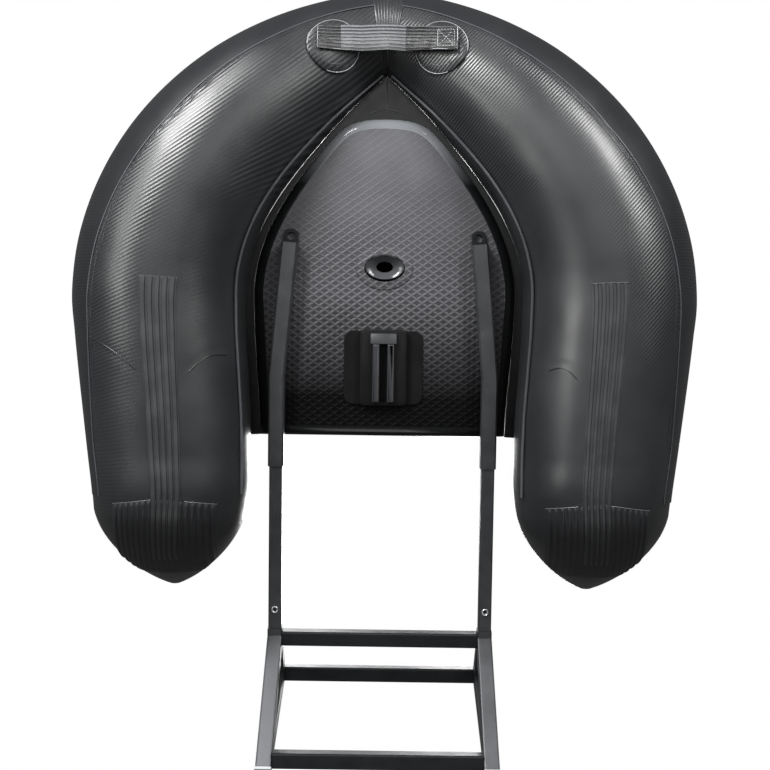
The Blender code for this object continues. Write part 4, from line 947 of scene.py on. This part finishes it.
# The strap's end seams are pale beads, a painted highlight
for name, x0, x1, lift in (("End", strapHigh.x - 0.0012, 0.078, 0.0008), ("Tab", tabFrom, -0.082, 0.0008)):
    y0, y1 = strapLow.y + 0.0015, strapHigh.y - 0.003
    outline = [(x0, y1), (x0, (y0 + y1) / 2), (x0, y0), ((x0 + x1) / 2, y0), (x1, y0)]
    ropeAlong("handleSeam" + name, [onStrap(x, y, lift) for x, y in outline], 0.0008, paleEdgeHighlightPvc)
for word in sides:
    refined("handle_patch_" + word, pvcFabric, 45, 0.0008)
    low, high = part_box("handle_patch_" + word)
    patch, middle = treeOf(nodes["handle_patch_" + word]), (low + high) / 2
    turns = np.linspace(0, 2 * math.pi, 61)[:-1]
    # The outer ring is a pale bead, a painted highlight; the inner ring is a welt bead lightened, partly a
    # painted highlight
    for ring, radius in enumerate(handle["patchRings"]):
        spots = [(middle.x + radius * math.cos(t) * 0.98, middle.y + radius * math.sin(t)) for t in turns]
        hits = [p for p in undersides(patch, spots) if p]
        size, material = ((0.0006, paleEdgeHighlightPvc), (0.0005, lightenedWeltPvc))[ring]
        if len(hits) > 40:  # open where the ring runs off the patch
            ropeAlong("handleRing%d_%s" % (ring, word), hits, size, material,
                      cyclic=len(hits) == len(turns))
print("handle laid")

# Top fittings: valves with grips, D-rings under their patches
valve = {"grips": 24, "grip": 0.0014, "tip": 0.0009, "height": 0.008, "out": 0.62, "sunk": 0.0042}
for word in sides:
    refined("air_valve_" + word, blackPlastic, 30, 0.0010, 3)
    low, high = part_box("air_valve_" + word)
    middle, radius = (low + high) / 2, (high.x - low.x) / 2
    mesh = bmesh.new()
    for k in range(valve["grips"]):
        turn = Matrix.Translation(middle) @ Matrix.Rotation(2 * math.pi * k / valve["grips"], 4, "Z")
        spot = Matrix.Translation((radius * valve["out"], 0, high.z - middle.z - valve["sunk"]))
        bmesh.ops.create_cone(mesh, segments=8, radius1=valve["grip"], radius2=valve["tip"],
                              depth=valve["height"], cap_ends=True, matrix=turn @ spot)
    finishPiece("valveGrips_" + word, mesh, blackPlastic, "hull")
for node in list(nodes):
    if node.startswith("tow_ring"):
        refined(node, boltSteel, 60)
    elif node.startswith("ring_patch"):
        refined(node, darkRubber, 30, 0.0008)
refined("backrest_hinge", blackPlastic, 40, 0.0005)
refined("hinge_flap", pipingCloth, 40, 0.0008)
print("fittings done")


# Seat cushion and backrest: foam in woven covers, made with a cloth simulation
def padFrame(node):
    # Centre, way along, way up and sizes of a pad, from the frame's own corners
    co = np.array([v.co for v in nodes[node].data.vertices])
    flat = co[:, 1:] - co[:, 1:].mean(0)
    ways = np.linalg.eigh(flat.T @ flat)[1]
    along = ways[:, 1] * (1 if ways[0, 1] > 0 or abs(ways[0, 1]) < 0.5 and ways[1, 1] > 0 else -1)
    along = Vector((0, along[0], along[1]))
    up = Vector((1, 0, 0)).cross(along)
    axes = np.array([(1, 0, 0), along, up])
    local = co @ axes.T
    low, high = local.min(0), local.max(0)
    turn = Matrix(((1, 0, 0), tuple(along), tuple(up))).transposed().to_4x4()
    centre = Vector(axes.T @ ((low + high) / 2))
    return Matrix.Translation(centre) @ turn, high - low


def padShape(name, size, settings):
    # A bevelled block with pulled-in sides and crowned faces, in even small faces
    half, inset = size / 2, settings["inset"]
    mesh = bmesh.new()
    bmesh.ops.create_cube(mesh, size=1.0)
    bmesh.ops.scale(mesh, verts=mesh.verts, vec=Vector(size) - Vector((inset, inset, 0.006)) * 2)
    bmesh.ops.bevel(mesh, geom=mesh.edges[:], offset=settings["corner"], affect="EDGES", segments=4,
                    profile=0.5, material=-1)
    bmesh.ops.subdivide_edges(mesh, edges=mesh.edges[:], cuts=6, use_grid_fill=True)
    for vert in mesh.verts:
        x, y = vert.co.x / half[0], vert.co.y / half[1]
        vert.co.x *= 1 - settings["pull"] * max(0.0, 1 - y * y)
        vert.co.y *= 1 - settings["pull"] * max(0.0, 1 - x * x)
        crown = max(0.0, 1 - abs(x) ** 3) * max(0.0, 1 - abs(y) ** 3)
        if vert.co.z > 0:
            vert.co.z -= settings["crown"] * (1 - crown)
        elif settings["crownBack"]:
            vert.co.z += settings["crownBack"] * (1 - crown)
    data = bpy.data.meshes.new(name)
    mesh.to_mesh(data)
    mesh.free()
    pad = placed(name, data)
    remesh = pad.modifiers.new("voxels", "REMESH")
    remesh.mode, remesh.voxel_size = "VOXEL", settings["voxel"]
    fresh = bpy.data.meshes.new_from_object(evaluated(pad))
    pad.modifiers.clear()
    pad.data = fresh
    return pad


swelling = {"frames": 20, "pressure": 4.0, "mass": 0.3, "quality": 5}


def swollen(pad, most):
    # The cover's points once the foam has pressed it out, each moved by no more than a limit
    start = np.array([v.co for v in pad.data.vertices])
    cloth = pad.modifiers.new("cloth", "CLOTH")
    cloth.settings.quality, cloth.settings.mass = swelling["quality"], swelling["mass"]
    cloth.settings.use_pressure, cloth.settings.uniform_pressure_force = True, swelling["pressure"]
    cloth.settings.effector_weights.gravity = 0.0
    for number in range(1, swelling["frames"] + 1):
        bpy.context.scene.frame_set(number)
    way = np.array([v.co for v in evaluated(pad).data.vertices]) - start
    pad.modifiers.clear()
    bpy.context.scene.frame_set(1)
    length = np.linalg.norm(way, axis=1)[:, None]
    return start + way * np.minimum(1.0, most / np.maximum(length, 1e-9))


def sewPad(name, tree, place, half, settings, body):
    # Piping along the cover's two long seams, then stitches in its channels
    for word, height in settings["piping"].items():
        spots = []
        for t in np.linspace(0, 2 * math.pi, 161)[:-1]:
            way = Vector((math.cos(t), math.sin(t), 0))
            scale = min(half[0] / max(abs(way.x), 1e-6), half[1] / max(abs(way.y), 1e-6))
            hit = tree.ray_cast(way * scale * 1.2 + Vector((0, 0, height)), -way)[0]
            if hit:
                spots.append(place @ (hit - way * 0.0006))
        ropeAlong("%sPiping%s" % (name, word), spots, 0.0022, pipingCloth, body, True)
    for index, line in enumerate(settings["channels"]):
        row = np.linspace(-half[0] * 0.86, half[0] * 0.86, 60)
        spots = [tree.ray_cast(Vector((x, line, 1)), Vector((0, 0, -1)))[0] for x in row]
        spots = [place @ (p + Vector((0, 0, 0.0003))) for p in spots if p]
        stitchRow("%sStitch%d" % (name, index), spots, body, 0.0045, 0.0022)


def makePad(name, node, settings, body):
    place, size = padFrame(node)
    half = size / 2
    pad = padShape(name, size, settings)
    co = swollen(pad, settings["cap"])
    for line in settings["channels"]:  # sewn channels pull the cover in
        ends = np.clip(1 - (abs(co[:, 0]) / (half[0] * 0.93)) ** 8, 0, 1)
        pull = np.exp(-((co[:, 1] - line) / 0.008) ** 2) * ends
        co[:, 2] -= np.where(co[:, 2] > 0, pull * settings["channelDepth"], 0.0)
    co = np.clip(co, -half + 0.0004, half - 0.0004)
    for vert, spot in zip(pad.data.vertices, co):
        vert.co = spot
    mesh = bmesh.new()
    mesh.from_mesh(pad.data)
    bmesh.ops.smooth_vert(mesh, verts=mesh.verts, factor=0.5, use_axis_x=True, use_axis_y=True,
                          use_axis_z=True)
    tree = BVHTree.FromBMesh(mesh)
    mesh.transform(place)
    bpy.data.objects.remove(pad)
    pad = finishPiece(name, mesh, seatCloth, body, (node,), 180)
    finer = pad.modifiers.new("finer", "SUBSURF")
    finer.levels = finer.render_levels = 1
    sewPad(name, tree, place, half, settings, body)


seatPad = {"inset": 0.007, "corner": 0.012, "pull": 0.022, "crown": 0.012, "crownBack": 0.0, "voxel": 0.005,
           "cap": 0.009, "channels": (-0.062, 0.062), "channelDepth": 0.008, "fill": 0.85,
           "piping": {"Top": 0.010, "Bottom": -0.018}}
makePad("seatCushion", "seat_cushion", seatPad, "hull")
print("seat cushion made")
backPad = {"inset": 0.006, "corner": 0.011, "pull": 0.020, "crown": 0.009, "crownBack": 0.006, "voxel": 0.005,
           "cap": 0.008, "channels": (-0.060, 0.060), "channelDepth": 0.007, "fill": 0.85,
           "piping": {"Front": 0.009, "Back": -0.010}}
makePad("backrestPad", "backrest_pad", backPad, "backrest")
print("backrest made")


# Stage: pale floor at the keel, open from below, with soft lamps below and above
def stageObject(name, data, matrix):
    item = placed(name, data)
    item.matrix_world = matrix
    return item


studio = {"distance": 2.2, "plane": 0.164, "lens": 54.22, "roll": 0.8, "aim": (-0.0038, -0.0209),
          "worldLight": 0.10, "floorReach": 14.0, "pixels": 770}
mesh = bmesh.new()
bmesh.ops.create_grid(mesh, x_segments=2, y_segments=2, size=studio["floorReach"])
floorMesh = bpy.data.meshes.new("studioFloor")
mesh.to_mesh(floorMesh)
mesh.free()
floorPaint, tree, shader = newMaterial("mattStudioPaint", "#ececec", 0.9)
output = tree.nodes["Material Output"]
clear = addNode(tree, "ShaderNodeBsdfTransparent")
back = addNode(tree, "ShaderNodeNewGeometry").outputs["Backfacing"]
chosen = addNode(tree, "ShaderNodeMixShader", {0: back, 1: shader.outputs[0], 2: clear.outputs[0]})
tree.links.new(chosen.outputs[0], output.inputs["Surface"])
floorMesh.materials.append(floorPaint)
studioFloor = stageObject("studioFloor", floorMesh, Matrix.Identity(4))
studioFloor.visible_diffuse = studioFloor.visible_glossy = False
studioFloor.visible_transmission = studioFloor.visible_shadow = False


def softLamp(name, place, aim, width, height, power):
    lamp = bpy.data.lights.new(name, "AREA")
    lamp.shape, lamp.size, lamp.size_y, lamp.energy = "RECTANGLE", width, height, power
    way = (Vector(aim) - Vector(place)).to_track_quat("-Z", "Y").to_matrix().to_4x4()
    return stageObject(name, lamp, Matrix.Translation(place) @ way)


softLamp("lampBelowLeft", (2.1, 1.0, -1.6), (0.3, 0.3, 0.1), 1.5, 1.0, 36)
softLamp("lampBelowRight", (-2.0, 1.5, -1.6), (-0.3, 0.3, 0.1), 1.3, 1.0, 26)
softLamp("lampSternLeft", (1.35, 2.1, -1.35), (0.3, 0.5, 0.1), 1.0, 0.7, 118)
softLamp("lampSternRight", (-1.5, 1.9, -1.35), (-0.3, 0.5, 0.1), 0.9, 0.6, 58)
softLamp("lampBelowFoot", (0.0, -2.4, -1.8), (0.0, -0.2, 0.2), 2.2, 0.9, 10)
softLamp("lampFront", (0.0, 1.1, -2.8), (0.0, 0.2, 0.1), 2.6, 1.4, 17)
softLamp("lampAboveKey", (-0.8, -0.5, 4.2), (0, 0, 0.1), 1.5, 1.5, 130)
softLamp("lampAboveFill", (0.9, 0.6, 4.2), (0, 0, 0.1), 1.5, 1.5, 60)

world = bpy.data.worlds.new("studio")
world.use_nodes = True
bpy.context.scene.world = world
tree = world.node_tree
background = tree.nodes["Background"]
# White where the camera looks past the object, faint in its reflections
seen = addNode(tree, "ShaderNodeLightPath").outputs["Is Camera Ray"]
tree.links.new(spread(tree, seen, 0.0, 1.0, studio["worldLight"], 1.0), background.inputs["Strength"])
background.inputs["Color"].default_value = (1, 1, 1, 1)

camera = bpy.data.cameras.new("camera")
camera.lens, camera.sensor_width, camera.clip_start, camera.clip_end = studio["lens"], 36.0, 0.05, 100.0
lookUp = Matrix(((-1, 0, 0), (0, 1, 0), (0, 0, -1))).to_4x4()  # straight up, with -X to the right
turn = lookUp @ Matrix.Rotation(math.radians(studio["roll"]), 4, "Z")
aim = Matrix.Translation((*studio["aim"], studio["plane"]))
place = aim @ turn @ Matrix.Translation((0, 0, studio["distance"]))
bpy.context.scene.camera = stageObject("camera", camera, place)
render = bpy.context.scene.render
render.resolution_x = render.resolution_y = studio["pixels"]
bpy.context.scene.view_settings.view_transform = "Standard"
print("stage set")
